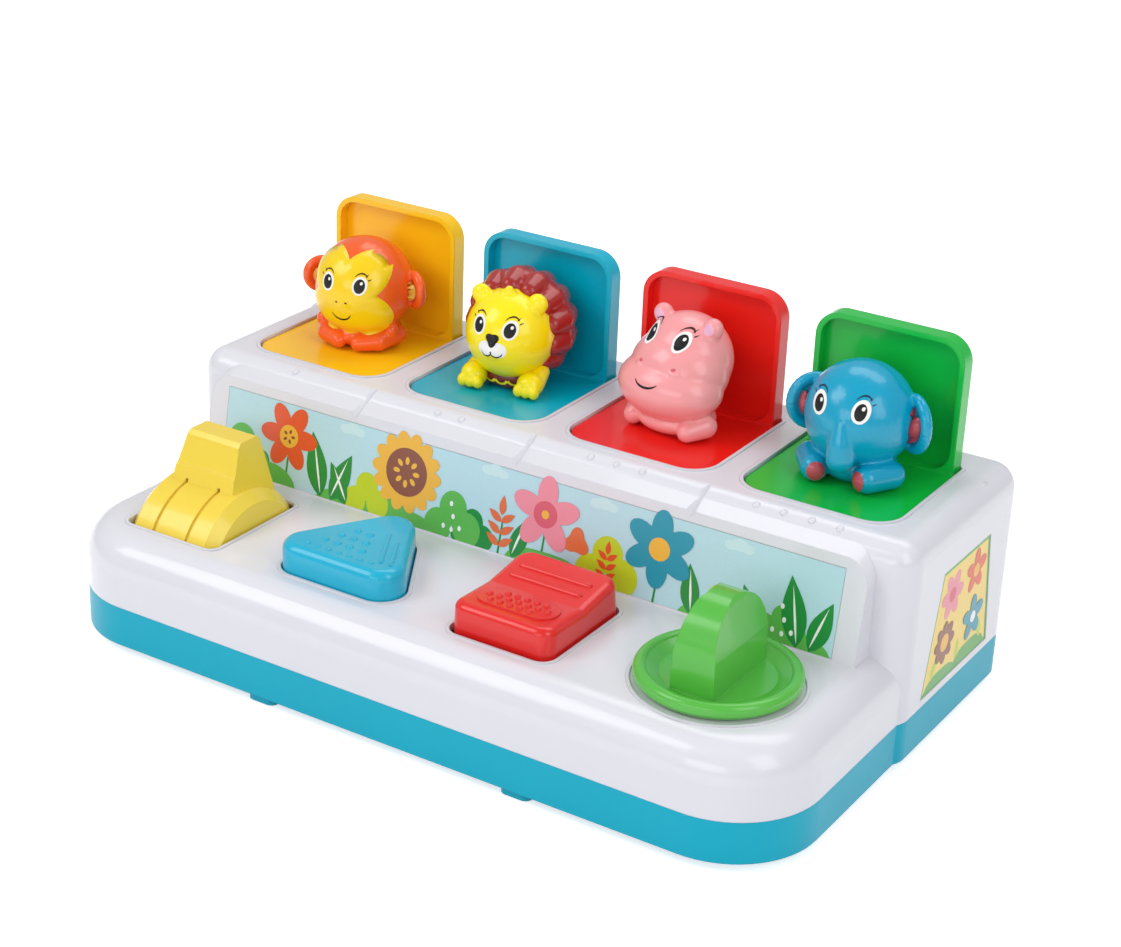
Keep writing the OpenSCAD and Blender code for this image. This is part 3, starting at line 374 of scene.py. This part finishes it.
def arc(cx, cz, r, a0, a1, w, steps=12, squash=1.0, taper=True):
    """A curved stroke, thin at its ends when tapered."""
    path, widths = [], []
    for k in range(steps + 1):
        t = k / steps
        a = math.radians(a0 + (a1 - a0) * t)
        path.append((cx + r * math.cos(a), cz + r * squash * math.sin(a)))
        widths.append(w * (0.35 + 0.65 * math.sin(math.pi * t)) if taper else w)
    return stroke(path, widths)


def stamp(name, target, fig, centre, patches, lift, colour, yaw=0.0, dome=None, reach=60.0):
    """Lays flat patches, drawn in x and z about centre and seen from the figure's front, on a skin. lift is how
    far they stand off, in millimetres; dome(index) adds a raised profile over one outline patch; reach is how
    far in front of centre the search for the skin starts. A point that misses takes the nearest place."""
    turn = fig.place.to_3x3() @ Matrix.Rotation(math.radians(yaw), 3, "Z")
    toward = turn @ Vector((0, 1, 0))
    origin = fig.place @ Vector(centre)
    verts, faces = [], []
    for points, polys in patches:
        base = len(verts)
        for index, (u, w) in enumerate(points):
            start = (origin + turn @ Vector((u, 0, w)) - toward * reach) * MM
            hit, normal, _, _ = target.ray_cast(start, toward)
            if hit is None:
                hit, normal, _, _ = target.find_nearest(start + toward * 0.75 * reach * MM)
            rise = lift + (dome(index) if dome else 0.0)
            verts.append(hit + normal * rise * MM)
        faces += [tuple(base + k for k in f) for f in polys]
    mesh = bpy.data.meshes.new(name)
    mesh.from_pydata(verts, [], faces)
    mesh.update()
    return add_object(name, mesh, fig.body, colour)


def raised(count, rings, height, sink=0.25, power=6.0):
    """Height profile of an outline patch: flat on top, rounded down at its rim."""
    def dome(index):
        rho = 0.0 if index == 0 else (1 + (index - 1) // count) / rings
        return height * (1 - rho ** power) ** 0.5 - sink * rho ** 20
    return dome


def eyes(prefix, target, fig, centre, spots, size, lash="brow", pupil=(0.72, 0.76)):
    """Printed eyes: white, dark pupil, a glint, a brow and lashes. spots are (x, z, outward side)."""
    whites, darks, glints, brows = [], [], [], []
    rx, rz = size
    for x, z, s in spots:
        whites.append(oval(x, z, rx, rz))
        darks.append(oval(x - 0.02 * rx, z - 0.02 * rz, rx * pupil[0], rz * pupil[1]))
        glints.append(oval(x + 0.2 * rx, z + 0.3 * rz, rx * 0.19, rz * 0.17, rings=2, count=16))
        brows.append(arc(x, z + 0.05 * rz, rx * 1.12, 45, 135, 0.5, squash=rz / rx * 1.12))
        for k in (0, 1):
            a = math.radians(56 - 26 * k if s > 0 else 124 + 26 * k)
            p = Vector((x + rx * 1.1 * math.cos(a), z + rz * 1.15 * math.sin(a)))
            q = p + Vector((math.cos(a), math.sin(a) * 0.8)) * 1.3
            brows.append(stroke([p, p.lerp(q, 0.5), q], [0.45, 0.35, 0.1]))
    stamp(prefix + "_eye_rims", target, fig, centre, whites, PRINT_LIFT, "white")
    stamp(prefix + "_pupils", target, fig, centre, darks, PRINT_LIFT + PRINT_LAYER, "black")
    stamp(prefix + "_glints", target, fig, centre, glints, PRINT_LIFT + 2 * PRINT_LAYER, "white")
    stamp(prefix + "_lashes", target, fig, centre, brows, PRINT_LIFT + PRINT_LAYER, lash)


def side_name(s):
    return "left" if s < 0 else "right"


class Figure:
    """An animal's seat on its door: the body it rides on and its frame, turned about its peg."""

    def __init__(self, i):
        self.body = BODIES[i]
        self.place = (Matrix.Translation((DOOR_X[i], HINGE_Y - FIGURE_SET, HINGE_Z + FLOOR_TOP))
                      @ Matrix.Rotation(math.radians(FIGURE_TURN[i]), 4, "Z"))


# ------------------------------------------------------------------ animals
def monkey():
    fig = Figure(0)
    ear_turn = 40

    def ear(s):
        return s * 20.4, 2.6, 23.3

    clay = Clay(fig)
    clay.ball((0, 0, 22.8), 19.5)
    clay.ball((0, 0, 5), (15.0, 14.4, 6.5))
    for s in (-1, 1):
        clay.ring(ear(s), 5.7, 2.1, (0, 0, -s * ear_turn))
        clay.ball((s * 19.6, 3.4, 23.3), (6.0, 1.8, 6.0), (0, 0, -s * ear_turn))
        clay.rod((s * 14.8, -2.0, 5.6), (s * 11.5, -10.4, 4.4), 3.9, 3.6)
        clay.rod((s * 11.5, -10.4, 4.4), (s * 4.2, -14.2, 3.6), 3.6, 3.1)
        clay.ball((s * 15.0, -6.2, 8.6), (2.6, 3.2, 3.0))
    skin = clay.melt("monkey_figure", "orange", soften=6)
    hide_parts("monkey_body")
    head = surface_of(skin)

    def heart(a):
        """Two brows over a wide muzzle: the farthest point of five discs at angle a."""
        best = 0.0
        d = Vector((math.cos(math.radians(a)), math.sin(math.radians(a))))
        for cx, cz, r in ((-6.8, 8.4, 8.9), (6.8, 8.4, 8.9), (-7.2, -6.4, 9.6), (7.2, -6.4, 9.6), (0, -7, 9.4)):
            c = Vector((cx, cz))
            b = d.dot(c)
            disc = b * b - c.length_squared + r * r
            if disc >= 0:
                best = max(best, b + math.sqrt(disc))
        return best

    centre = (0, 0, 23.2)
    count, rings = 96, 12
    face = stamp("monkey_mask", head, fig, centre, [outline((0, 0), heart, count, rings)], 0.0, "face",
                 dome=raised(count, rings, 1.3))
    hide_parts("monkey_face")
    mask = surface_of(face)
    eyes("monkey", mask, fig, centre, [(-6.5, 5.7, -1), (6.9, 5.7, 1)], (2.8, 3.5))
    smile = arc(-0.4, -5.0, 4.2, 200, 340, 0.75, squash=0.9)
    stamp("monkey_smile", mask, fig, centre, [smile], PRINT_LIFT, "black")
    stamp("monkey_nostrils", mask, fig, centre, [oval(s * 2.0, -1.3, 0.5, 0.38, rings=2) for s in (-1, 1)],
          PRINT_LIFT, "brow")
    for s in (-1, 1):
        stamp("monkey_ear_" + side_name(s), head, fig, ear(s), [oval(0, 0, 3.9, 3.9)], 0.25, "inner_ear",
              yaw=-s * ear_turn, reach=5.0)


def lion():
    fig = Figure(1)
    clay = Clay(fig)
    lobes, mane_z = 13, 22.6
    ridge = ((-2.4, 16.1, 4.2), (3.5, 16.9, 5.3), (10.5, 15.2, 5.0))    # y, distance from the middle, thickness
    for k in range(lobes):
        a = 2 * math.pi * (k + 0.5) / lobes
        c, z = math.cos(a), math.sin(a)
        for (y0, r0, t0), (y1, r1, t1) in zip(ridge, ridge[1:]):
            clay.rod((r0 * c, y0, mane_z + r0 * z), (r1 * c, y1, mane_z + r1 * z), t0, t1, 5)
    clay.ball((0, 4.5, mane_z), (21.0, 12.0, 21.0))
    clay.ball((0, -1, 5), (13.0, 12.2, 6.2))
    mane = clay.melt("lion_mane_figure", "mane", soften=4)
    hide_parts("lion_mane")
    centre = (0, -5, 21.5)
    clay = Clay(fig)
    clay.ball(centre, 17.3)
    for s in (-1, 1):
        clay.ball((s * 11.5, -7.4, 35.3), (4.0, 3.0, 4.0))
    for dx, dz, r in ((-1.5, 0, 1.5), (0.5, 1.3, 1.7), (2.1, -0.3, 1.4)):
        clay.ball((dx, -9, 38.1 + dz), r, detail=3)
    clay.ball((0, -19.6, 19.4), (5.6, 3.4, 4.4))
    head_skin = clay.melt("lion_head_figure", "lion", soften=5)
    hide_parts("lion_head")
    head = surface_of(head_skin)
    clay = Clay(fig)
    for s in (-1, 1):
        clay.ball((s * 11.6, -12.0, 4.8), (5.2, 5.2, 4.8))
        for k in (-1, 0, 1):
            clay.ball((s * 11.6 + k * 3.1, -15.6, 3.1), (2.1, 2.5, 2.6), detail=3)
        clay.rod((s * 12.4, -10.0, 5.2), (s * 12.6, -5.0, 7.6), 4.2, 3.4, 6)
    paws = clay.melt("lion_paws_figure", "lion", voxel=0.4, soften=3)
    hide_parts("lion_paws")
    eyes("lion", head, fig, centre, [(-6.4, 6.4, -1), (6.2, 6.2, 1)], (2.9, 3.5))
    stamp("lion_muzzle", head, fig, centre, [oval(s * 2.5, -1.6, 3.2, 3.0, rings=5) for s in (-1, 1)], 0.07,
          "white")

    def nose(a):
        """A rounded triangle with its point down."""
        return 2.5 + 0.45 * math.cos(3 * math.radians(a - 90) + math.pi)

    count, rings = 36, 4
    stamp("lion_nose", head, fig, centre, [outline((0, 2.2), nose, count, rings)], 0.1, "black",
          dome=raised(count, rings, 0.7, 0.1, 3.0))
    lips = [arc(-2.0, -1.9, 2.3, 200, 350, 0.6), arc(2.0, -1.9, 2.3, 190, 340, 0.6),
            stroke([(0, 0.2), (0, -2.4)], [0.5, 0.5])]
    stamp("lion_smile", head, fig, centre, lips, 0.14, "black")
    chest = surface_of(mane)
    stamp("lion_chest", chest, fig, (0, -2, 5.6), [oval(0, 0, 8.4, 2.8)], 0.15, "chest")
    hem = [arc(x, 1.2, 2.6, 205, 335, 1.0, taper=False) for x in (-5, 0, 5)]
    stamp("lion_chest_hem", chest, fig, (0, -2, 4.6), hem, 0.22, "lion")


def hippo():
    fig = Figure(2)
    clay = Clay(fig)
    clay.ball((0, 3.2, 26.0), (17.4, 15.6, 17.0))
    clay.ball((-0.9, -5.0, 17.2), (21.0, 16.2, 12.8))
    clay.ball((-0.4, -0.6, 22.6), (19.2, 16.4, 15.2))
    clay.ball((0, -2.0, 5.0), (15.4, 14.0, 6.0))
    for s in (-1, 1):
        clay.ball((s * 11.4, 2.2, 40.0), (3.9, 3.3, 4.0))
        clay.rod((s * 15.0, -4.0, 5.2), (s * 12.4, -11.0, 4.0), 4.6, 3.8)
        clay.ball((s * 7.2, -14.6, 26.0), (2.3, 1.6, 1.3), (30, 0, 0))
    skin = clay.melt("hippo_figure", "pink", soften=8)
    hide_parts("hippo_body")
    head = surface_of(skin)
    centre = (0, 0, 20.0)
    eyes("hippo", head, fig, centre, [(-9.2, 15.6, -1), (5.4, 16.0, 1)], (3.1, 3.3))
    stamp("hippo_smile", head, fig, centre, [arc(-0.9, 3.4, 5.4, 206, 334, 0.85, squash=0.58)], 0.07, "black")
    nostrils = [oval(s * 7.3, 7.6, 0.9, 0.55, rings=2) for s in (-1, 1)]
    stamp("hippo_nostrils", head, fig, centre, nostrils, 0.05, "print_rose")
    for s in (-1, 1):
        stamp("hippo_ear_" + side_name(s), head, fig, (s * 11.5, 0, 40.4), [oval(0, 0, 2.1, 2.1, rings=3)],
              PRINT_LIFT, "pink_ear")


def elephant():
    fig = Figure(3)
    ear_turn, sole_turn = 40, 32
    centre = (0, 0, 22.8)

    def ear(s):
        return s * 19.0, 3.0, 22.4

    clay = Clay(fig)
    clay.ball(centre, (19.6, 19.5, 19.5))
    clay.ball((0, 0, 6.0), (14.4, 14.0, 7.5))
    clay.rod((0, -16.6, 25.0), (0.4, -17.6, 17.0), 3.3, 4.6)
    clay.rod((0.4, -17.6, 17.0), (0.8, -17.4, 12.2), 4.6, 5.2)
    for s in (-1, 1):
        clay.ring(ear(s), 8.2, 2.2, (0, 0, -s * ear_turn), 1.08)
        clay.ball((s * 18.6, 3.9, 22.4), (8.2, 1.9, 8.8), (0, 0, -s * ear_turn))
        clay.rod((s * 15.2, -5.6, 5.3), (s * 9.9, -14.0, 5.3), 5.2, 5.1)
    skin = clay.melt("elephant_figure", "blue", soften=5)
    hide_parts("elephant_body")
    head = surface_of(skin)
    eyes("elephant", head, fig, centre, [(-9.4, 7.2, -1), (6.4, 7.5, 1)], (3.1, 3.9), lash="navy",
         pupil=(0.64, 0.72))
    for s in (-1, 1):
        stamp("elephant_ear_" + side_name(s), head, fig, ear(s), [oval(0, 0, 5.8, 6.6)], 0.2, "rose",
                          yaw=-s * ear_turn, reach=5.0)
        stamp("elephant_pad_" + side_name(s), head, fig, (s * 9.4, -15.0, 5.3),
                          [oval(0, 0, 3.1, 3.4)], 0.25, "rose", yaw=-s * sole_turn, reach=7.0)
    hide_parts("elephant_pads")


def counting_dots():
    """One to four small domes on the shoulder in front of the doors."""
    skin = surface_of(NODES["upper_shell"])
    above, sink = 200.0, 0.3
    radius, height = 1.5, 1.1
    bm = bmesh.new()
    for i in range(4):
        for k in range(i + 1):
            start = Vector((DOOR_X[i] + (k - i / 2) * DOT_PITCH, DOT_Y, above)) * MM
            hit, normal, _, _ = skin.ray_cast(start, Vector((0, 0, -1)))
            seat = (Matrix.Translation(hit - normal * sink * MM)
                    @ normal.to_track_quat("Z", "Y").to_matrix().to_4x4()
                    @ Matrix.Diagonal((radius * MM, radius * MM, height * MM, 1)))
            bmesh.ops.create_icosphere(bm, subdivisions=3, radius=1.0, matrix=seat)
    mesh = bpy.data.meshes.new("counting_dots")
    bm.to_mesh(mesh)
    bm.free()
    add_object("counting_dots", mesh, "base", "shell")


def coil_spring(node, turns, wire, axis, fixed_high):
    """A wound wire in place of a spring's plain tube; axis is 1 for y and 2 for z, and fixed_high is not used. The
    first and last turns lie closed."""
    low, high = (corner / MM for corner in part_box(node))
    side, other = (0, 2) if axis == 1 else (0, 1)
    clearance, turn_steps, around = 0.02, 28, 10
    radius = min(high[side] - low[side], high[other] - low[other]) / 2 - wire / 2 - clearance
    middle = (low + high) / 2
    whole = high[axis] - low[axis]
    pitch = (whole - 3 * wire) / (turns - 2)
    along = Vector([1.0 if k == axis else 0.0 for k in range(3)])
    verts, faces = [], []
    for k in range(turn_steps * turns + 1):
        turn = k / turn_steps
        rise = min(turn, 1) * wire + min(max(turn - 1, 0), turns - 2) * pitch + max(turn - turns + 1, 0) * wire
        out = Vector((0, 0, 0))
        out[side], out[other] = math.cos(2 * math.pi * turn), math.sin(2 * math.pi * turn)
        core = middle + out * radius
        core[axis] = low[axis] + wire / 2 + rise
        base = len(verts)
        for m in range(around):
            a = 2 * math.pi * m / around
            verts.append((core + (out * math.cos(a) + along * math.sin(a)) * wire / 2) * MM)
            if k:
                n = (m + 1) % around
                faces.append((base - around + m, base - around + n, base + n, base + m))
    faces += [tuple(range(around)), tuple(range(len(verts) - around, len(verts)))]
    mesh = bpy.data.meshes.new(node + "_coil")
    mesh.from_pydata(verts, [], faces)
    bm = bmesh.new()
    bm.from_mesh(mesh)
    bmesh.ops.recalc_face_normals(bm, faces=bm.faces)
    bm.to_mesh(mesh)
    bm.free()
    obj = add_object(node + "_coil", mesh, "base", "steel")
    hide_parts(node)
    fixed = middle.copy()
    fixed[axis] = high[axis] if fixed_high else low[axis]
    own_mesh(obj)


def springs():
    """The button's spring and the latches' return springs."""
    coil_spring("button_spring", 15, 0.9, 2, False)
    for i in (1, 2, 3, 4):
        coil_spring("latch_spring_%d" % i, 8, 0.8, 1, True)


# ------------------------------------------------------------------ printed labels
def flat_prints(name, origin, along, up, layers):
    """Prints flat shapes on a plane: layers are (colour, [patch, ...]), each a little above the one before."""
    normal = along.cross(up)
    sheets = []
    for depth, (colour, patches) in enumerate(layers):
        verts, faces = [], []
        for index, (points, polys) in enumerate(patches):
            base = len(verts)
            rise = LABEL_LIFT + LABEL_LAYER * depth + PATCH_STEP * min(index, MOST_PATCH_STEPS)
            for u, w in points:
                verts.append((origin + along * u + up * w + normal * rise) * MM)
            faces += [tuple(base + k for k in f) for f in polys]
        mesh = bpy.data.meshes.new(name)
        mesh.from_pydata(verts, [], faces)
        mesh.update()
        sheets.append(add_object("%s_%02d_%s" % (name, depth, colour), mesh, "base", colour))
        for p in mesh.polygons:
            p.use_smooth = False
    return sheets


def clip_low(patch, floor=0.0):
    """Keeps a print above its label's lower edge."""
    points, faces = patch
    return [(u, max(w, floor)) for u, w in points], faces


def hill(x0, x1, height, bumps=1, steps=40):
    """A rounded hill that stands on the label's lower edge."""
    points, faces = [], []
    for k in range(steps + 1):
        t = k / steps
        h = height * math.sin(math.pi * t) ** 0.6 * (1 + 0.12 * math.cos(2 * math.pi * bumps * t))
        points += [(x0 + (x1 - x0) * t, 0.0), (x0 + (x1 - x0) * t, h)]
        if k:
            faces.append((2 * k - 2, 2 * k, 2 * k + 1, 2 * k - 1))
    return points, faces


def bush(x, size):
    """Three puffs on a base."""
    return [clip_low(oval(x + dx * size, dz * size, r * size, r * size * 1.1))
            for dx, dz, r in ((0, 0.95, 0.5), (-0.5, 0.3, 0.5), (0.55, 0.4, 0.5))]


def leaf(x, z, length, width, lean):
    """A pointed leaf that grows from (x, z), leaning by lean degrees."""
    a, steps, tip = math.radians(90 - lean), 10, 0.05
    path = [(x + length * t / steps * math.cos(a), z + length * t / steps * math.sin(a)) for t in range(steps + 1)]
    widths = [max(tip, width * math.sin(math.pi * (t / steps) ** 0.8)) for t in range(steps + 1)]
    return stroke(path, widths)


def petals(x, z, radius, size, count, turn=0.0):
    """A ring of count oval petals, each size long, at radius from (x, z)."""
    out = []
    for k in range(count):
        a = 2 * math.pi * k / count + math.radians(turn)
        out.append(oval(x + radius * math.cos(a), z + radius * math.sin(a), size, size * 0.62,
                        math.degrees(a), rings=2, count=20))
    return out


def disc(x, z, radius):
    return oval(x, z, radius, radius)


def tulip(x, z, size):
    """A cup with three soft corners."""
    return outline((x, z), lambda a: size * (1.0 + 0.22 * math.cos(math.radians(3 * (a - 90)))), 36, 3)


def front_print():
    """Flowers and leaves along the sloping panel. x runs from the label's middle, z up from its lower edge."""
    slope = math.atan2(PANEL_LEAN, PANEL_TOP_Z - DECK_Z)
    margin = 0.6
    foot_y = PANEL_FOOT_Y + PANEL_LEAN * margin / (PANEL_TOP_Z - DECK_Z)
    along, up = Vector((1, 0, 0)), Vector((0, math.sin(slope), math.cos(slope)))
    bloom_z = 19.5
    red, sunflower, pink, teal = ((x, bloom_z) for x in (-101, -46, 15, 62))
    fern_x, rust_x = -3, 42
    berry_bushes = ((-123, 13), (-24, 12), (112, 9))

    greens = [hill(-131, -96, 8.5), hill(-86, -30, 8.0, 2), hill(0, 34, 6.5), hill(72, 131, 8.5, 2)]
    puffs = [puff for x, size in berry_bushes for puff in bush(x, size)]
    dark_puffs = bush(-15, 9) + bush(-113, 7.5)
    lime = bush(-63, 10) + bush(rust_x, 12.5) + bush(87, 9)
    clouds = [oval(x + dx, z + dz, r, r * 0.7) for x, z in ((-72, 29.0), (-8, 29.4), (38, 29.0), (92, 28.6))
              for dx, dz, r in ((-3.2, 0, 2.6), (0, 0.7, 3.2), (3.4, 0, 2.4))]
    leaf_spots = ((-84, 25, 9.5, -14), (-79, 21, 8.5, 22), (-72, 17, 7.0, -30), (-122, 17, 7.0, 24),
                  (3, 17, 7.0, 18), (77, 18, 7.5, -8), (118, 25, 9.5, -12), (123, 20, 8.0, 18),
                  (103, 18, 7.0, -24))      # x, length, width, lean
    leaves = [leaf(x, 0, length, width, lean) for x, length, width, lean in leaf_spots]
    veins = [leaf(x, 1.5, length * 0.8, 0.9, lean) for x, length, width, lean in leaf_spots]
    flecks = [oval(x + dx, z, 0.75, 1.0, rings=2, count=16) for x, size in berry_bushes
              for dx, z in ((-3.4, 4.0), (0.4, 8.4), (3.6, 4.6), (0.2, 3.4), (-0.9, 13.0))]
    fern = [leaf(fern_x, z, 6.8, 2.9, lean) for z in (3, 7.5, 12) for lean in (-56, 56)]
    fern.append(leaf(fern_x, 14.5, 7.5, 3.0, 0))
    rust = [leaf(rust_x, z, 5.0, 2.3, lean) for z in (3, 6.5, 10) for lean in (-55, 55)]
    rust.append(leaf(rust_x, 12, 5.0, 2.3, 0))
    stems = [stroke([(x, 0), (x + 0.6, z)], [0.9, 0.7])
             for x, z in ((red[0], 16), (sunflower[0], 14), (pink[0], 14), (teal[0], 13), (fern_x, 13))]
    layers = [
        ("sky_pale", clouds),
        ("leaf", [clip_low(p) for p in dark_puffs] + stems),
        ("green", [clip_low(p) for p in greens + puffs]),
        ("lime", [clip_low(p) for p in lime]),
        ("leaf", leaves),
        ("print_white", veins + flecks),
        ("print_orange", petals(*red, 7.4, 6.0, 6) + rust),
        ("print_gold", [disc(*red, 4.4)] + petals(*sunflower, 10.6, 4.9, 14)),
        ("print_brown", [disc(*sunflower, 9.2)] + petals(*red, 2.0, 0.9, 5)),
        ("coral", fern + [tulip(29, 13.0, 4.6)]),
        ("print_pink", petals(*pink, 7.6, 6.8, 5, 90)),
        ("print_rose", [disc(*pink, 5.0)]),
        ("print_teal", petals(*teal, 7.6, 6.8, 6, 30)),
        ("print_gold", [disc(*teal, 4.2), disc(*pink, 1.6)] + petals(*sunflower, 4.4, 1.5, 8)),
    ]
    flat_prints("front_print", Vector((0, foot_y, DECK_Z + margin)), along, up, layers)


def side_print():
    """Four flowers in a green border. The sheet under them stands for the label's solid."""
    border = 1.4
    rim = []
    for k, corner in enumerate(SIDE_LABEL_OUTLINE):
        a, b = Vector(corner), Vector(SIDE_LABEL_OUTLINE[(k + 1) % 4])
        inward = Vector((-(b - a).y, (b - a).x)).normalized() * border
        rim.append(([tuple(a), tuple(b), tuple(b + inward), tuple(a + inward)], [(0, 1, 2, 3)]))
    pink, orange, brown, teal = (20, 33), (40, 34.5), (17, 15.5), (41.5, 15.5)
    layers = [
        ("sun", [(SIDE_LABEL_OUTLINE, [(0, 1, 2, 3)])]),
        ("border", rim + [clip_low(p, 0.2) for p in (hill(2, 30, 6), hill(26, 55, 7.5))]),
        ("lime", [leaf(8, 4, 9, 3.4, 20), leaf(50, 4, 10, 3.6, -18), leaf(29, 4, 8, 3.2, 6)]),
        ("print_pink", petals(*pink, 5.0, 4.2, 6)),
        ("print_rose", [disc(*pink, 2.8)]),
        ("print_orange", petals(*orange, 4.6, 4.0, 5, 90)),
        ("print_gold", [disc(*orange, 2.6)]),
        ("print_brown", petals(*brown, 4.6, 3.8, 8)),
        ("print_gold", [disc(*brown, 3.4)]),
        ("print_teal", petals(*teal, 4.8, 4.2, 5, 20)),
        ("print_white", [disc(*teal, 2.2)]),
    ]
    sheets = flat_prints("side_print", Vector(SIDE_LABEL_FOOT), Vector((0, 1, 0)), Vector((0, 0, 1)), layers)
    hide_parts("side_label")


# ------------------------------------------------------------------ stage, lights, camera
FLOOR_GLOW = 0.62
FLOOR_HALF, FLOOR_DROP = 6.0, 0.0002        # metres
ROOM_COLOUR, ROOM_STRENGTH = (0.96, 0.98, 1.0, 1), 0.5
# name, place, aim, size in metres, and power
LIGHTS = [
    ("key_left", (-0.75, -0.75, 1.05), (0, 0, 0.05), (0.7, 0.7), 5.9),
    ("fill_right", (0.95, -0.35, 0.7), (0, 0, 0.08), (0.5, 0.8), 3.2),
    ("front_low", (0.1, -1.1, 0.42), (0, 0.05, 0.11), (0.9, 0.35), 2.6),
    ("top_back", (0.0, 0.55, 1.2), (0, 0, 0.05), (1.2, 0.5), 4.8),
]
CAMERA = {"place": (0.4139, -0.6510, 0.4176), "azimuth": 31.63, "elevation": 24.11, "roll": 2.25,
          "lens": 75.08, "sensor": 36.0}


def floor_material():
    """Pale studio floor that keeps the object's shadow and goes to white away from it."""
    n = Nodes("studio_floor")
    rays = n.add("LightPath")
    lift = n.add("Emission")
    coat = n.add("BsdfDiffuse")
    coords = n.add("TexCoord")
    tint = n.tint(n.spread(n.noise(coords, 6.0), 0.0, 1.0), (0.80, 0.80, 0.81), (0.82, 0.82, 0.825))
    n.tree.links.new(tint.outputs[2], coat.inputs["Color"])
    both = n.add("AddShader")
    seen = n.tree.nodes.new("ShaderNodeMath")
    seen.operation = "MAXIMUM"
    n.link(rays, "Is Camera Ray", seen, 0)
    n.link(rays, "Is Glossy Ray", seen, 1)
    gate = n.tree.nodes.new("ShaderNodeMath")
    gate.operation = "MULTIPLY"
    gate.inputs[1].default_value = FLOOR_GLOW
    n.tree.links.new(seen.outputs[0], gate.inputs[0])
    n.tree.links.new(gate.outputs[0], lift.inputs["Strength"])
    n.tree.links.new(lift.outputs[0], both.inputs[0])
    n.tree.links.new(coat.outputs[0], both.inputs[1])
    n.tree.links.new(both.outputs[0], n.add("OutputMaterial").inputs["Surface"])
    return n.mat


def stage():
    mesh = bpy.data.meshes.new("studio_floor")
    corners = [(x * FLOOR_HALF, y * FLOOR_HALF, 0) for x, y in ((-1, -1), (1, -1), (1, 1), (-1, 1))]
    mesh.from_pydata(corners, [], [(0, 1, 2, 3)])
    floor = bpy.data.objects.new("studio_floor", mesh)
    floor.location.z = -FLOOR_DROP
    mesh.materials.append(floor_material())
    bpy.context.scene.collection.objects.link(floor)


def world():
    """A dim even room for the object, and white for the camera."""
    w = bpy.data.worlds.new("studio")
    bpy.context.scene.world = w
    w.use_nodes = True
    tree = w.node_tree
    tree.nodes.clear()
    rays = tree.nodes.new("ShaderNodeLightPath")
    dim, white = tree.nodes.new("ShaderNodeBackground"), tree.nodes.new("ShaderNodeBackground")
    dim.inputs["Color"].default_value = ROOM_COLOUR
    dim.inputs["Strength"].default_value = ROOM_STRENGTH
    white.inputs["Color"].default_value = (1, 1, 1, 1)
    white.inputs["Strength"].default_value = 1.0
    mix = tree.nodes.new("ShaderNodeMixShader")
    tree.links.new(rays.outputs["Is Camera Ray"], mix.inputs["Fac"])
    tree.links.new(dim.outputs[0], mix.inputs[1])
    tree.links.new(white.outputs[0], mix.inputs[2])
    tree.links.new(mix.outputs[0], tree.nodes.new("ShaderNodeOutputWorld").inputs["Surface"])


def lights():
    for name, place, aim, size, power in LIGHTS:
        data = bpy.data.lights.new(name, "AREA")
        data.shape = "RECTANGLE"
        data.size, data.size_y = size
        data.energy = power
        lamp = bpy.data.objects.new(name, data)
        lamp.location = place
        lamp.rotation_euler = (Vector(aim) - Vector(place)).to_track_quat("-Z", "Y").to_euler()
        bpy.context.scene.collection.objects.link(lamp)


def camera():
    data = bpy.data.cameras.new("photo_camera")
    data.sensor_fit, data.sensor_width, data.lens = "HORIZONTAL", CAMERA["sensor"], CAMERA["lens"]
    data.clip_start, data.clip_end = 0.01, 50.0
    cam = bpy.data.objects.new("photo_camera", data)
    a, e, r = (math.radians(CAMERA[k]) for k in ("azimuth", "elevation", "roll"))
    right = Vector((math.cos(a), math.sin(a), 0))
    back = Vector((math.sin(a) * math.cos(e), -math.cos(a) * math.cos(e), math.sin(e)))
    up = back.cross(right)
    right_r = right * math.cos(r) + up * math.sin(r)
    up_r = up * math.cos(r) - right * math.sin(r)
    turn = Matrix((right_r, up_r, back)).transposed().to_4x4()
    cam.matrix_world = Matrix.Translation(CAMERA["place"]) @ turn
    bpy.context.scene.collection.objects.link(cam)
    bpy.context.scene.camera = cam


def main():
    bpy.context.scene.view_settings.view_transform = "Standard"
    camera()
    world()
    lights()
    stage()
    dress_cad_nodes()
    monkey()
    lion()
    hippo()
    elephant()
    counting_dots()
    springs()
    front_print()
    side_print()


main()
